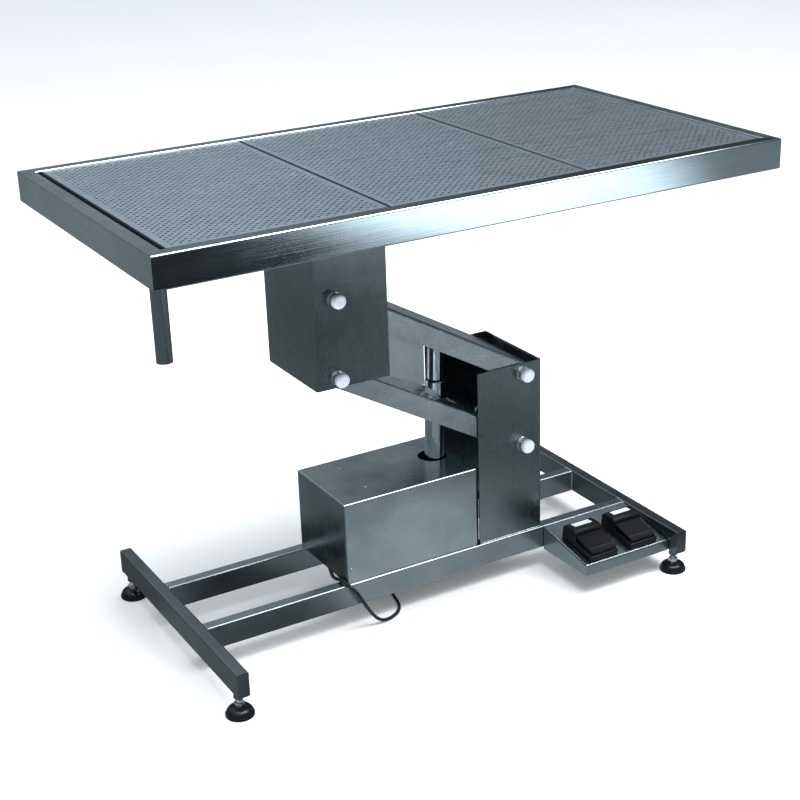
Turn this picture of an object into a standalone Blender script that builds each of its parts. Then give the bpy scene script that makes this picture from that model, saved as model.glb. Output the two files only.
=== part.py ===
# Electric lift table for veterinary preparation, in metres.
# X runs along the table, the front is at -Y, and Z is up from the floor.
# The origin is on the floor below the middle of the tray top.

import math

import bmesh
import bpy
from mathutils import Euler, Matrix, Vector

# General clearances
TOUCH = 0.0003            # left between pieces that seat on each other
RUNNING = 0.0002          # radial play of a shaft in its bore

# Base frame
BASE_X = -0.027           # middle of the base, the top overhangs it to the right
BASE_LENGTH = 1.038       # over the cross tubes
BASE_WIDTH = 0.580        # length of a cross tube with its end caps
TUBE_WIDTH = 0.025
TUBE_HEIGHT = 0.050
TUBE_WALL = 0.002
TUBE_CORNER = 0.003
FRAME_TOP = 0.0995
RAIL_SPREAD = 0.2156      # over the outer faces of the two rails
CAP_THICKNESS = 0.002

# Levelling feet
FOOT_INSET = 0.025        # foot centre from the end of its cross tube
PAD_RADIUS = 0.0275
PAD_EDGE = 0.006
PAD_HEIGHT = 0.020
PAD_TOP_RADIUS = 0.010
STUD_RADIUS = 0.006
STUD_REACH = 0.036        # stud left above the underside of the tube
FOOT_NUT_FLATS = 0.018
FOOT_NUT_HEIGHT = 0.008
BOSS_RADIUS = 0.010
BOSS_HEIGHT = 0.012

# Bed plate and motor cover
BED_SHEET = 0.004
COVER_LENGTH = 0.3085
COVER_WIDTH = 0.2015
COVER_TOP = 0.274
COVER_SHEET = 0.0015
COVER_FOLD = 0.003
COVER_GAP = 0.0054        # between cover and column
TUBE_HOLE_RADIUS = 0.030
TUBE_HOLE_X = 0.0775      # hole in the cover, from the middle of the base
TUBE_HOLE_Y = 0.004
SCREW_RADIUS = 0.0035
SCREW_HEAD = 0.0016
SCREW_SHANK_RADIUS = 0.0015
SCREW_LENGTH = 0.010
BOX_SCREW_SPREAD = 0.103  # between the two screws that hold the control box
BOX_SCREW_INSET = 0.0775  # from the left face of the cover
SIDE_SCREW_INSET = 0.011
SIDE_SCREW_RISE = 0.029

# Control box under the top of the cover
CONTROL_LENGTH = 0.110
CONTROL_WIDTH = 0.150
CONTROL_HEIGHT = 0.058

# Column
COLUMN_BACK = 0.2782      # outer face of the web, from the middle of the base
COLUMN_DEPTH = 0.1536
COLUMN_WIDTH = 0.207
COLUMN_ABOVE_PIN = 0.0195 # column top above its upper pin
COLUMN_SHEET = 0.0025
SHEET_FOLD = 0.004        # outer radius of the folds of column and top box

# Lift linkage
PIN_INSET = 0.0467        # column pins from the outer face of the web
PIN_HEIGHT = 0.459        # upper column pin
PIN_SPACING = 0.1563
ARM_LENGTH = 0.484        # from pin to pin
ARM_ANGLE = 29.8          # degrees above the horizontal
ARM_DEPTH = 0.042
ARM_SHEET = 0.003
ARM_FOLD = 0.005
ARM_SIDE_GAP = 0.0018     # between arm and plate, filled by the end of the bush
ARM_TAIL = 0.021          # arm beyond its pins
SHAFT_RADIUS = 0.008
BUSH_RADIUS = 0.0125
SHAFT_STUB = 0.0225       # shaft outside the plate
WASHER_RADIUS = 0.015
WASHER_THICKNESS = 0.002
NUT_FLATS = 0.024
NUT_HEIGHT = 0.012
CAP_RADIUS = 0.015
CAP_LENGTH = 0.012
CAP_GAP = 0.0008          # between nut and white cap
CAP_BORE_DEPTH = 0.009

# Upright box under the top
BOX_DEPTH = 0.158
BOX_SHEET = 0.0025
BOX_PIN_INSET = 0.0446    # pins from the outer face of its web
BOX_TAIL = 0.0215         # box below its lower pin
BOX_HOLE_RADIUS = 0.003
BOX_HOLE_RISE = 0.051

# Slot in the lower arm for the actuator tube
SLOT_CENTRE = 0.173       # along the arm from its column pin
SLOT_LENGTH = 0.084
SLOT_WIDTH = 0.054

# Guard plate between the arms, in front of the actuator
GUARD_REACH = 0.1586      # lower near corner, along the arm
GUARD_WIDTH = 0.096
GUARD_GAP = 0.0086        # far end above the lower arm
GUARD_TAPER = 0.006       # near end is this much higher
GUARD_SHEET = 0.003
GUARD_FORWARD = 0.030     # middle of the sheet from the middle of the table

# Linear actuator
ROD_REACH = 0.162         # rod pin along the upper arm
CLEVIS_X = 0.076          # bottom pin, from the middle of the base
CLEVIS_Z = 0.130
ACTUATOR_RADIUS = 0.021
ACTUATOR_WALL = 0.003
ACTUATOR_TOP = 0.314      # tube mouth above the bottom pin
MOUTH_LIP = 0.006
ROD_RADIUS = 0.017
ROD_PLAY = 0.0005
ROD_SUNK = 0.090          # rod inside the tube
ROD_NECK = 0.026          # top of the round rod below its pin
EYE_RADIUS = 0.0118
EYE_HALF = 0.012          # half thickness of rod eye and bottom lug
CLEVIS_PIN_RADIUS = 0.006
OPEN_PLAY = 0.0036        # radial play of the lug on the bottom pin
EAR_SHEET = 0.005
EAR_GAP = 0.0015
EAR_WIDTH = 0.032
EAR_DROP = 0.010          # ears of the rod bracket below the rod pin
CLEVIS_EAR_TOP = 0.011    # ears of the bottom bracket above its pin
PIN_STUB = 0.004
CLEVIS_FOOT = 0.005
CLEVIS_LENGTH = 0.070
GEARBOX_BOTTOM = 0.022    # above the bottom pin
GEARBOX_HEIGHT = 0.024
GEARBOX_WIDTH = 0.064
GEARBOX_RIGHT = 0.028     # from the tube axis
GEARBOX_LEFT = 0.086
MOTOR_OFFSET = 0.056
MOTOR_RADIUS = 0.026
MOTOR_HEIGHT = 0.086

# Tray top
TOP_ABOVE_PIN = 0.2195    # rim top above the upper pin of the top box
TOP_LENGTH = 1.300
TOP_WIDTH = 0.672
RIM_HEIGHT = 0.060
RIM_WIDTH = 0.028
RIM_INNER = 0.0565        # inner wall of the rim
RIM_LIP = 0.010           # return under the rim
RIM_FOLD = 0.003
TOP_SHEET = 0.0015
PAN_DROP = 0.053          # pan at the drain corner, below the rim top
PAN_FALL = 0.0186         # from the high corner of the pan to the drain corner
DRAIN_INSET_X = 0.017     # drain centre from the left inner wall
DRAIN_INSET_Y = 0.072     # drain centre from the front inner wall
DRAIN_RADIUS = 0.0145
DRAIN_WALL = 0.0015
DRAIN_LENGTH = 0.163
PANEL_COUNT = 3
PANEL_DROP = 0.0015       # panels below the rim top
PANEL_SHEET = 0.0015
PANEL_LIP = 0.018
PANEL_GAP = 0.0015
PANEL_FOLD = 0.003
FINGER_GAP = 0.009        # open strip beside the left rim
LEDGE_WIDTH = 0.012
LEDGE_SHEET = 0.002
BEARER_LENGTH = 1.060
BEARER_SPREAD = 0.260
BEARER_WIDTH = 0.040
BEARER_SHEET = 0.002
BEARER_DROP = 0.088       # underside of the bearers below the rim top
MOUNT_PLATE = 0.005
MOUNT_WELD = 0.001        # bearers sunk into the plate by the weld
MOUNT_LENGTH = 0.220
MOUNT_WIDTH = 0.310

# Pedal platform and foot switches
PLATFORM_WIDTH = 0.213
PLATFORM_DEPTH = 0.156
PLATFORM_SINK = 0.0255    # front edge below the back edge
PLATFORM_LIP = 0.024
PLATFORM_BACK_LIP = 0.053
PLATFORM_SHEET = 0.002
PLATFORM_FOLD = 0.003
PEDAL_WIDTH = 0.070
PEDAL_LENGTH = 0.106
PEDAL_MARGIN = 0.005      # from the front edge of the platform
PEDAL_INSET = 0.0627      # middle of the right pedal from the right edge of the platform
PEDAL_PITCH = 0.101
PEDAL_WALL = 0.0035
PEDAL_FLOOR = 0.005
PEDAL_SIDE = 0.012        # height of the open front part
HOOD_LENGTH = 0.042
HOOD_HEIGHT = 0.036
HOOD_ROOF = 0.004
HOOD_ROUND = 0.007
TREADLE_PLAY = 0.001
TREADLE_SHEET = 0.007
TREADLE_FRONT_RISE = 0.0135
TREADLE_BACK_RISE = 0.0215
TREADLE_TAIL = 0.009      # treadle behind its hinge pin
HINGE_BACK = 0.023        # hinge pin from the back of the pedal
HINGE_RISE = 0.0165
HINGE_RADIUS = 0.0025
RIDGE_HEIGHT = 0.002
RIDGE_BACK = 0.013        # ridge behind the treadle's front edge
RIDGE_HALF = 0.004

# Mains lead
CORD_RADIUS = 0.0035
RELIEF_LENGTH = 0.032
RELIEF_RADIUS = 0.0062
RELIEF_TIP_RADIUS = 0.0046
COIL_RADIUS = 0.0385      # middle of the turns
COIL_LAYERS = 3
COIL_ROWS = 2
COIL_X = 0.014            # from the middle of the base
COIL_Y = 0.062
TAIL_LENGTH = 0.044
PLUG_TAIL = 0.018
PLUG_BODY = 0.030
PLUG_RADIUS = 0.0125
PRONG_LENGTH = 0.019
PRONG_RADIUS = 0.0022
PRONG_SPREAD = 0.0095     # from the plug axis

for old in list(bpy.data.objects):
    bpy.data.objects.remove(old, do_unlink=True)

parts = bpy.data.collections.new("preparation_table")
cutters = bpy.data.collections.new("cutters")
bpy.context.scene.collection.children.link(parts)
bpy.context.scene.collection.children.link(cutters)


def material(name, colour, roughness, metallic):
    made = bpy.data.materials.new(name)
    made.use_nodes = True
    shader = made.node_tree.nodes["Principled BSDF"]
    shader.inputs["Base Color"].default_value = (*colour, 1.0)
    shader.inputs["Roughness"].default_value = roughness
    shader.inputs["Metallic"].default_value = metallic
    return made


STEEL = (0.50, 0.55, 0.57)
DARK_STEEL = (0.34, 0.38, 0.40)
CHROME = (0.78, 0.80, 0.82)
BLACK = (0.012, 0.013, 0.018)
WHITE = (0.82, 0.86, 0.88)
finishes = {
    "steel": (STEEL, 0.32, 1.0),
    "dark_steel": (DARK_STEEL, 0.45, 1.0),
    "chrome": (CHROME, 0.12, 1.0),
    "black": (BLACK, 0.50, 0.0),
    "white": (WHITE, 0.35, 0.0),
}


def axis_empty(name, place, turn=(0.0, 0.0, 0.0)):
    made = bpy.data.objects.new(name, None)
    made.location = place
    made.rotation_euler = turn
    made.empty_display_size = 0.03
    parts.objects.link(made)
    return made


def finish_mesh(name, bm, smooth_angle):
    bmesh.ops.recalc_face_normals(bm, faces=bm.faces)
    mesh = bpy.data.meshes.new(name)
    bm.to_mesh(mesh)
    bm.free()
    if smooth_angle:
        mesh.shade_smooth()
        mesh.set_sharp_from_angle(angle=math.radians(smooth_angle))
    return mesh


def piece(name, bm, finish, holder=None, smooth_angle=35):
    """Makes one named object from the bmesh, in the frame of the empty that holds it."""
    made = bpy.data.objects.new(name, finish_mesh(name, bm, smooth_angle))
    made.data.materials.append(material(name, *finishes[finish]))
    made.parent = holder
    parts.objects.link(made)
    return made


def boolean(made, bm, operation="DIFFERENCE"):
    """Cuts the bmesh out of the object, or joins it on, as a live modifier."""
    tool = bpy.data.objects.new(made.name + "_tool", finish_mesh(made.name, bm, 0))
    tool.parent = made.parent
    tool.hide_render = True
    tool.display_type = "WIRE"
    cutters.objects.link(tool)
    step = made.modifiers.new("Boolean", "BOOLEAN")
    step.operation = operation
    step.solver = "EXACT"
    step.object = tool


def soften(made, width, segments=2):
    step = made.modifiers.new("Bevel", "BEVEL")
    step.width = width
    step.segments = segments
    step.limit_method = "ANGLE"
    step.angle_limit = math.radians(40)


def thicken(made, sheet):
    """Gives an open folded sheet its wall, inwards from the outer face."""
    step = made.modifiers.new("Solidify", "SOLIDIFY")
    step.thickness = sheet
    step.offset = -1.0
    step.use_even_offset = True
    step.use_quality_normals = True


def block(bm, low, high):
    low = Vector(low)
    high = Vector(high)
    made = bmesh.ops.create_cube(bm, size=1.0)["verts"]
    size = Matrix.Diagonal((*(high - low), 1.0))
    bmesh.ops.transform(bm, matrix=Matrix.Translation((low + high) / 2) @ size, verts=made)
    return made


def rod(bm, start, end, radius, sides=24, end_radius=None):
    start = Vector(start)
    run = Vector(end) - start
    far_radius = radius if end_radius is None else end_radius
    made = bmesh.ops.create_cone(bm, cap_ends=True, segments=sides, radius1=radius, radius2=far_radius,
                                 depth=run.length)["verts"]
    turn = run.to_track_quat("Z", "X").to_matrix().to_4x4()
    bmesh.ops.transform(bm, matrix=Matrix.Translation(start + run / 2) @ turn, verts=made)
    return made


def turned(profile, start, direction, steps=24):
    """Spins a closed profile of (radius, height) points about the direction from start."""
    bm = bmesh.new()
    verts = [bm.verts.new((radius, 0.0, height)) for radius, height in profile]
    edges = [bm.edges.new(pair) for pair in zip(verts, verts[1:] + verts[:1])]
    bmesh.ops.spin(bm, geom=verts + edges, cent=(0, 0, 0), axis=(0, 0, 1), angle=2 * math.pi,
                   steps=steps, use_merge=True)
    bmesh.ops.remove_doubles(bm, verts=bm.verts, dist=1e-6)
    loose = [e for e in bm.edges if not e.link_faces]
    bmesh.ops.delete(bm, geom=loose, context="EDGES")
    turn = Vector(direction).to_track_quat("Z", "X").to_matrix().to_4x4()
    bmesh.ops.transform(bm, matrix=Matrix.Translation(start) @ turn, verts=bm.verts)
    return bm


def rounded(corners, radius, steps=3, closed=False):
    """Rounds the corners of a flat path with arcs."""
    points = [Vector(corner) for corner in corners]
    count = len(points)
    path = []
    for index in range(count):
        corner = points[index]
        if not closed and index in (0, count - 1):
            path.append(corner)
            continue
        back = (points[index - 1] - corner).normalized()
        ahead = (points[(index + 1) % count] - corner).normalized()
        half = back.angle(ahead) / 2
        centre = corner + (back + ahead).normalized() * radius / math.sin(half)
        start = corner + back * radius / math.tan(half) - centre
        end = corner + ahead * radius / math.tan(half) - centre
        sweep = math.atan2(start.x * end.y - start.y * end.x, start.dot(end))
        for step in range(steps + 1):
            turn = Matrix.Rotation(sweep * step / steps, 2)
            path.append(centre + turn @ start)
    return path


def strip(path, sheet):
    """Closes a bent path into the outline of a sheet that lies on its left side."""
    offset = []
    for index, point in enumerate(path):
        sides = []
        if index:
            sides.append((point - path[index - 1]).normalized())
        if index + 1 < len(path):
            sides.append((path[index + 1] - point).normalized())
        normals = [Vector((-side.y, side.x)) for side in sides]
        mean = sum(normals, Vector((0, 0))).normalized()
        offset.append(point + mean * sheet / mean.dot(normals[0]))
    return list(path) + offset[::-1]


PLANES = {
    "YZ": lambda a, b, c: (c, a, b),
    "XZ": lambda a, b, c: (a, c, b),
    "XY": lambda a, b, c: (a, b, c),
}


def prism(bm, outline, plane, start, end):
    """Extrudes a flat outline square to its plane, from start to end."""
    put = PLANES[plane]
    face = bm.faces.new([bm.verts.new(put(a, b, start)) for a, b in outline])
    grown = bmesh.ops.extrude_face_region(bm, geom=[face])["geom"]
    moved = [v for v in grown if isinstance(v, bmesh.types.BMVert)]
    bmesh.ops.translate(bm, verts=moved, vec=put(0.0, 0.0, end - start))


def slice_off(bm, point, normal):
    """Cuts the mesh at a plane, drops what lies past it and closes the cut."""
    found = bmesh.ops.bisect_plane(bm, geom=bm.verts[:] + bm.edges[:] + bm.faces[:], plane_co=point,
                                   plane_no=normal, clear_outer=True, dist=1e-7)["geom_cut"]
    edges = [item for item in found if isinstance(item, bmesh.types.BMEdge)]
    bmesh.ops.contextual_create(bm, geom=edges)


def rectangle(width, height, x=0.0, y=0.0):
    return [(x - width / 2, y - height / 2), (x + width / 2, y - height / 2),
            (x + width / 2, y + height / 2), (x - width / 2, y + height / 2)]


# Places that several pieces share
left_tube_x = BASE_X - BASE_LENGTH / 2 + TUBE_WIDTH / 2
right_tube_x = BASE_X + BASE_LENGTH / 2 - TUBE_WIDTH / 2
rail_y = RAIL_SPREAD / 2 - TUBE_WIDTH / 2
tube_bottom = FRAME_TOP - TUBE_HEIGHT
tube_middle = FRAME_TOP - TUBE_HEIGHT / 2
seat = FRAME_TOP + TOUCH
column_right = BASE_X + COLUMN_BACK
column_top = PIN_HEIGHT + COLUMN_ABOVE_PIN
column_left = column_right - COLUMN_DEPTH
plate_outer = COLUMN_WIDTH / 2
plate_inner = plate_outer - COLUMN_SHEET
arm_outer = plate_inner - ARM_SIDE_GAP
arm_inner = arm_outer - ARM_SHEET
arm_turn = math.radians(ARM_ANGLE)
arm_run = Vector((-math.cos(arm_turn), 0.0, math.sin(arm_turn)))
upper_pivot = Vector((column_right - PIN_INSET, 0.0, PIN_HEIGHT))
lower_pivot = upper_pivot - Vector((0.0, 0.0, PIN_SPACING))
box_upper_pin = upper_pivot + arm_run * ARM_LENGTH
box_lower_pin = lower_pivot + arm_run * ARM_LENGTH
box_left = box_upper_pin.x - BOX_PIN_INSET
box_right = box_left + BOX_DEPTH
top_z = box_upper_pin.z + TOP_ABOVE_PIN
rod_pin_place = upper_pivot + arm_run * ROD_REACH
clevis_place = Vector((BASE_X + CLEVIS_X, 0.0, CLEVIS_Z))
actuator_run = rod_pin_place - clevis_place
actuator_length = actuator_run.length
actuator_tilt = math.atan2(actuator_run.x, actuator_run.z)
cover_right = column_left - COVER_GAP
cover_left = cover_right - COVER_LENGTH
cover_front = -plate_outer
cover_back = cover_front + COVER_WIDTH

# Empties on the joint axes carry what moves
lift_axis = axis_empty("lift_axis", upper_pivot, (0.0, arm_turn, 0.0))
guide_axis = axis_empty("guide_axis", lower_pivot, (0.0, arm_turn, 0.0))
top_axis = axis_empty("top_axis", box_upper_pin)
rod_axis = axis_empty("rod_axis", rod_pin_place, (0.0, actuator_tilt, 0.0))


def cross_tube(name, x):
    """A rectangular tube across the base, closed at its ends, with a threaded boss for each foot."""
    outer = rounded(rectangle(TUBE_WIDTH, TUBE_HEIGHT, x, tube_middle), TUBE_CORNER, closed=True)
    bm = bmesh.new()
    prism(bm, outer, "XZ", -BASE_WIDTH / 2, BASE_WIDTH / 2)
    made = piece(name, bm, "steel")
    bosses = bmesh.new()
    holes = bmesh.new()
    for y in foot_ys:
        rod(bosses, (x, y, tube_bottom - BOSS_HEIGHT), (x, y, tube_bottom + TUBE_WALL), BOSS_RADIUS, 20)
        rod(holes, (x, y, tube_bottom - 2 * BOSS_HEIGHT), (x, y, tube_bottom + 2 * TUBE_WALL),
            STUD_RADIUS + RUNNING, 16)
    boolean(made, bosses, "UNION")
    hollow = bmesh.new()
    reach = BASE_WIDTH / 2 - CAP_THICKNESS
    prism(hollow, rectangle(TUBE_WIDTH - 2 * TUBE_WALL, TUBE_HEIGHT - 2 * TUBE_WALL, x, tube_middle), "XZ",
          -reach, reach)
    boolean(made, hollow)
    boolean(made, holes)


def rail(name, y):
    """A tube along the base, welded between the cross tubes."""
    reach = BASE_LENGTH / 2 - TUBE_WIDTH - TOUCH
    bm = bmesh.new()
    prism(bm, rounded(rectangle(TUBE_WIDTH, TUBE_HEIGHT, y, tube_middle), TUBE_CORNER, closed=True), "YZ",
          BASE_X - reach, BASE_X + reach)
    made = piece(name, bm, "steel")
    hollow = bmesh.new()
    prism(hollow, rectangle(TUBE_WIDTH - 2 * TUBE_WALL, TUBE_HEIGHT - 2 * TUBE_WALL, y, tube_middle), "YZ",
          BASE_X - BASE_LENGTH, BASE_X + BASE_LENGTH)
    boolean(made, hollow)


def foot(name, x, y):
    """A levelling foot: domed pad and stud with the hexagon that turns it."""
    holder = axis_empty(name + "_axis", (x, y, 0.0))
    profile = [(0.0, 0.0), (PAD_RADIUS, 0.0), (PAD_RADIUS, PAD_EDGE)]
    for step in range(1, 5):
        angle = step * math.pi / 8
        profile.append((PAD_TOP_RADIUS + (PAD_RADIUS - PAD_TOP_RADIUS) * math.cos(angle),
                        PAD_EDGE + (PAD_HEIGHT - PAD_EDGE) * math.sin(angle)))
    stud_top = tube_bottom + STUD_REACH
    profile += [(STUD_RADIUS, PAD_HEIGHT), (STUD_RADIUS, stud_top), (0.0, stud_top)]
    made = piece(name, turned(profile, (0, 0, 0), (0, 0, 1), 28), "black", holder)
    hexagon = bmesh.new()
    corner = FOOT_NUT_FLATS / 2 / math.cos(math.pi / 6)
    rod(hexagon, (0, 0, PAD_HEIGHT - TOUCH), (0, 0, PAD_HEIGHT + FOOT_NUT_HEIGHT), corner, 6)
    boolean(made, hexagon, "UNION")


foot_ys = (-(BASE_WIDTH / 2 - FOOT_INSET), BASE_WIDTH / 2 - FOOT_INSET)
cross_tube("cross_tube_left", left_tube_x)
cross_tube("cross_tube_right", right_tube_x)
rail("rail_front", -rail_y)
rail("rail_back", rail_y)
foot("foot_front_left", left_tube_x, foot_ys[0])
foot("foot_front_right", right_tube_x, foot_ys[0])
foot("foot_back_left", left_tube_x, foot_ys[1])
foot("foot_back_right", right_tube_x, foot_ys[1])


def bed_plate():
    """The plate under the motor box, which ties the rails together."""
    inside = COVER_SHEET + TOUCH
    outline = rounded(rectangle(COVER_LENGTH - 2 * inside, COVER_WIDTH - 2 * inside,
                                (cover_left + cover_right) / 2, cover_middle), COVER_FOLD, closed=True)
    bm = bmesh.new()
    prism(bm, outline, "XY", seat, seat + BED_SHEET)
    piece("bed_plate", bm, "dark_steel")


def motor_cover():
    """A folded box over the drive, open below, with the hole for the actuator tube."""
    bm = bmesh.new()
    block(bm, (cover_left, cover_front, seat), (cover_right, cover_back, COVER_TOP))
    folds = [e for e in bm.edges if max(v.co.z for v in e.verts) > seat + TOUCH]
    bmesh.ops.bevel(bm, geom=folds, offset=COVER_FOLD, segments=3, affect="EDGES", profile=0.5)
    below = [f for f in bm.faces if f.normal.z < -0.9]
    bmesh.ops.delete(bm, geom=below, context="FACES")
    made = piece("motor_cover", bm, "steel")
    thicken(made, COVER_SHEET)
    hole = bmesh.new()
    x = BASE_X + TUBE_HOLE_X
    rod(hole, (x, TUBE_HOLE_Y, COVER_TOP - 4 * COVER_SHEET), (x, TUBE_HOLE_Y, COVER_TOP + COVER_SHEET),
        TUBE_HOLE_RADIUS, 40)
    for place, inwards in cover_screw_places:
        rod(hole, place - inwards * SCREW_HEAD, place + inwards * 2 * COVER_SHEET,
            SCREW_SHANK_RADIUS + RUNNING, 10)
    boolean(made, hole)


def cover_screw(name, place, inwards):
    """A button-head screw through the sheet of the cover."""
    profile = [(0.0, 0.0), (SCREW_RADIUS * 0.6, 0.0), (SCREW_RADIUS, SCREW_HEAD * 0.6),
               (SCREW_RADIUS, SCREW_HEAD),
               (SCREW_SHANK_RADIUS, SCREW_HEAD), (SCREW_SHANK_RADIUS, SCREW_LENGTH), (0.0, SCREW_LENGTH)]
    piece(name, turned(profile, place - inwards * (TOUCH + SCREW_HEAD), inwards, 10), "chrome")


def control_box():
    """The control electronics, hung under the top of the cover by its two screws."""
    top = COVER_TOP - COVER_SHEET - TOUCH
    x = cover_left + BOX_SCREW_INSET
    bm = bmesh.new()
    block(bm, (x - CONTROL_LENGTH / 2, cover_middle - CONTROL_WIDTH / 2, top - CONTROL_HEIGHT),
          (x + CONTROL_LENGTH / 2, cover_middle + CONTROL_WIDTH / 2, top))
    made = piece("control_box", bm, "black")
    soften(made, 0.003)
    holes = bmesh.new()
    for place, inwards in cover_screw_places[:2]:
        rod(holes, place, place + inwards * (SCREW_LENGTH + TOUCH), SCREW_SHANK_RADIUS + RUNNING, 10)
    boolean(made, holes)


cover_middle = (cover_front + cover_back) / 2
down = Vector((0, 0, -1))
cover_screw_places = [
    (Vector((cover_left + BOX_SCREW_INSET, -BOX_SCREW_SPREAD / 2, COVER_TOP)), down),
    (Vector((cover_left + BOX_SCREW_INSET, BOX_SCREW_SPREAD / 2, COVER_TOP)), down),
    (Vector((cover_left + SIDE_SCREW_INSET, cover_front, seat + SIDE_SCREW_RISE)), Vector((0, 1, 0))),
]
bed_plate()
motor_cover()
for name, screw in zip(("cover_screw_front", "cover_screw_back", "cover_screw_side"), cover_screw_places):
    cover_screw(name, *screw)
control_box()


def actuator_clevis():
    """The bottom bracket: two ears on a foot, welded to the bed plate."""
    foot_low = seat + BED_SHEET + TOUCH
    foot_high = foot_low + CLEVIS_FOOT
    ear_in = EYE_HALF + EAR_GAP
    ear_out = ear_in + EAR_SHEET
    outline = [
        (clevis_place.x - CLEVIS_LENGTH / 2, foot_low),
        (clevis_place.x + CLEVIS_LENGTH / 2, foot_low),
        (clevis_place.x + CLEVIS_LENGTH / 2, foot_high),
        (clevis_place.x + EAR_WIDTH / 2, foot_high),
        (clevis_place.x + EAR_WIDTH / 2, CLEVIS_Z + CLEVIS_EAR_TOP),
        (clevis_place.x - EAR_WIDTH / 2, CLEVIS_Z + CLEVIS_EAR_TOP),
        (clevis_place.x - EAR_WIDTH / 2, foot_high),
        (clevis_place.x - CLEVIS_LENGTH / 2, foot_high),
    ]
    bm = bmesh.new()
    prism(bm, outline, "XZ", -ear_out, ear_out)
    made = piece("actuator_clevis", bm, "dark_steel")
    gap = bmesh.new()
    block(gap, (clevis_place.x - CLEVIS_LENGTH, -ear_in, foot_high),
          (clevis_place.x + CLEVIS_LENGTH, ear_in, CLEVIS_Z + CLEVIS_LENGTH))
    boolean(made, gap)
    bore = bmesh.new()
    rod(bore, (clevis_place.x, -CLEVIS_LENGTH, CLEVIS_Z), (clevis_place.x, CLEVIS_LENGTH, CLEVIS_Z),
        CLEVIS_PIN_RADIUS + RUNNING, 20)
    boolean(made, bore)


def clevis_pin():
    reach = EYE_HALF + EAR_GAP + EAR_SHEET + PIN_STUB
    bm = bmesh.new()
    rod(bm, (clevis_place.x, -reach, CLEVIS_Z), (clevis_place.x, reach, CLEVIS_Z), CLEVIS_PIN_RADIUS, 20)
    piece("clevis_pin", bm, "chrome")


actuator_clevis()
clevis_pin()


def pivot_holes(places, reach):
    bm = bmesh.new()
    for place in places:
        rod(bm, (place[0], -reach, place[1]), (place[0], reach, place[1]), SHAFT_RADIUS + RUNNING, 24)
    return bm


def folded_upright(name, web_x, open_x, sheet, low, high, holder, shift):
    """A U-shaped upright of folded sheet, seen from above, with its web at web_x."""
    side = 1 if open_x > web_x else -1
    corners = [(open_x, -plate_outer), (web_x, -plate_outer), (web_x, plate_outer), (open_x, plate_outer)]
    if side > 0:
        corners = corners[::-1]
    path = rounded(corners, SHEET_FOLD)
    bm = bmesh.new()
    prism(bm, strip(path, sheet), "XY", low, high)
    bmesh.ops.translate(bm, verts=bm.verts, vec=-shift)
    return piece(name, bm, "steel", holder)


def column():
    made = folded_upright("column", column_right, column_left, COLUMN_SHEET, seat, column_top, None, Vector())
    boolean(made, pivot_holes([(upper_pivot.x, upper_pivot.z), (lower_pivot.x, lower_pivot.z)], COLUMN_WIDTH))


def pivot_bolt(name, pin, holder):
    """A shaft through the upright, made up with a washer and a hexagon nut at each end."""
    washer = plate_outer + TOUCH
    hexagon = washer + WASHER_THICKNESS
    end = plate_outer + SHAFT_STUB
    half = [(SHAFT_RADIUS, washer), (WASHER_RADIUS, washer), (WASHER_RADIUS, hexagon),
            (SHAFT_RADIUS, hexagon),
            (SHAFT_RADIUS, end), (0.0, end)]
    profile = [(radius, -height) for radius, height in half[::-1]] + half
    made = piece(name, turned(profile, pin, (0, 1, 0), 24), "chrome", holder)
    nuts = bmesh.new()
    corner = NUT_FLATS / 2 / math.cos(math.pi / 6)
    for side in (-1, 1):
        out = Vector((0, side, 0))
        rod(nuts, pin + out * (hexagon - WASHER_THICKNESS / 2), pin + out * (hexagon + NUT_HEIGHT), corner, 6)
    boolean(made, nuts, "UNION")


def bolt_cap(name, pin, side, holder):
    """A domed cap pushed over the end of a shaft."""
    bore = SHAFT_RADIUS + RUNNING
    start = plate_outer + TOUCH + WASHER_THICKNESS + NUT_HEIGHT + CAP_GAP
    profile = [(bore, 0.0), (CAP_RADIUS, 0.0)]
    for step in range(4):
        angle = step * math.pi / 6
        profile.append((CAP_RADIUS * (0.78 + 0.22 * math.cos(angle)),
                        CAP_LENGTH * (0.72 + 0.28 * math.sin(angle))))
    profile += [(0.0, CAP_LENGTH), (0.0, CAP_BORE_DEPTH), (bore, CAP_BORE_DEPTH)]
    out = Vector((0, side, 0))
    piece(name, turned(profile, pin + out * start, out, 24), "white", holder)


def pivot_set(prefix, pin, holder):
    pivot_bolt(prefix + "_bolt", pin, holder)
    bolt_cap(prefix + "_cap_front", pin, -1, holder)
    bolt_cap(prefix + "_cap_back", pin, 1, holder)


column()
pivot_set("column_upper", upper_pivot, None)
pivot_set("column_lower", lower_pivot, None)


def arm(name, holder, slot):
    """An inverted channel along -X of its frame, with a bush tube welded through it at each pin."""
    corners = [(arm_outer, -ARM_DEPTH / 2), (arm_outer, ARM_DEPTH / 2),
               (-arm_outer, ARM_DEPTH / 2), (-arm_outer, -ARM_DEPTH / 2)]
    outline = strip(rounded(corners, ARM_FOLD), ARM_SHEET)
    bm = bmesh.new()
    prism(bm, outline, "YZ", -ARM_LENGTH - ARM_TAIL, ARM_TAIL)
    made = piece(name, bm, "steel", holder)
    bushes = bmesh.new()
    reach = plate_inner - TOUCH
    for x in (0.0, -ARM_LENGTH):
        rod(bushes, (x, -reach, 0.0), (x, reach, 0.0), BUSH_RADIUS, 24)
    boolean(made, bushes, "UNION")
    boolean(made, pivot_holes([(0.0, 0.0), (-ARM_LENGTH, 0.0)], COLUMN_WIDTH))
    if slot:
        opening = bmesh.new()
        outline = rounded(rectangle(SLOT_LENGTH, SLOT_WIDTH, -SLOT_CENTRE, 0.0), SLOT_WIDTH * 0.3, 5,
                          closed=True)
        prism(opening, outline, "XY", ARM_DEPTH / 2 - 2 * ARM_SHEET, ARM_DEPTH)
        boolean(made, opening)


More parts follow.
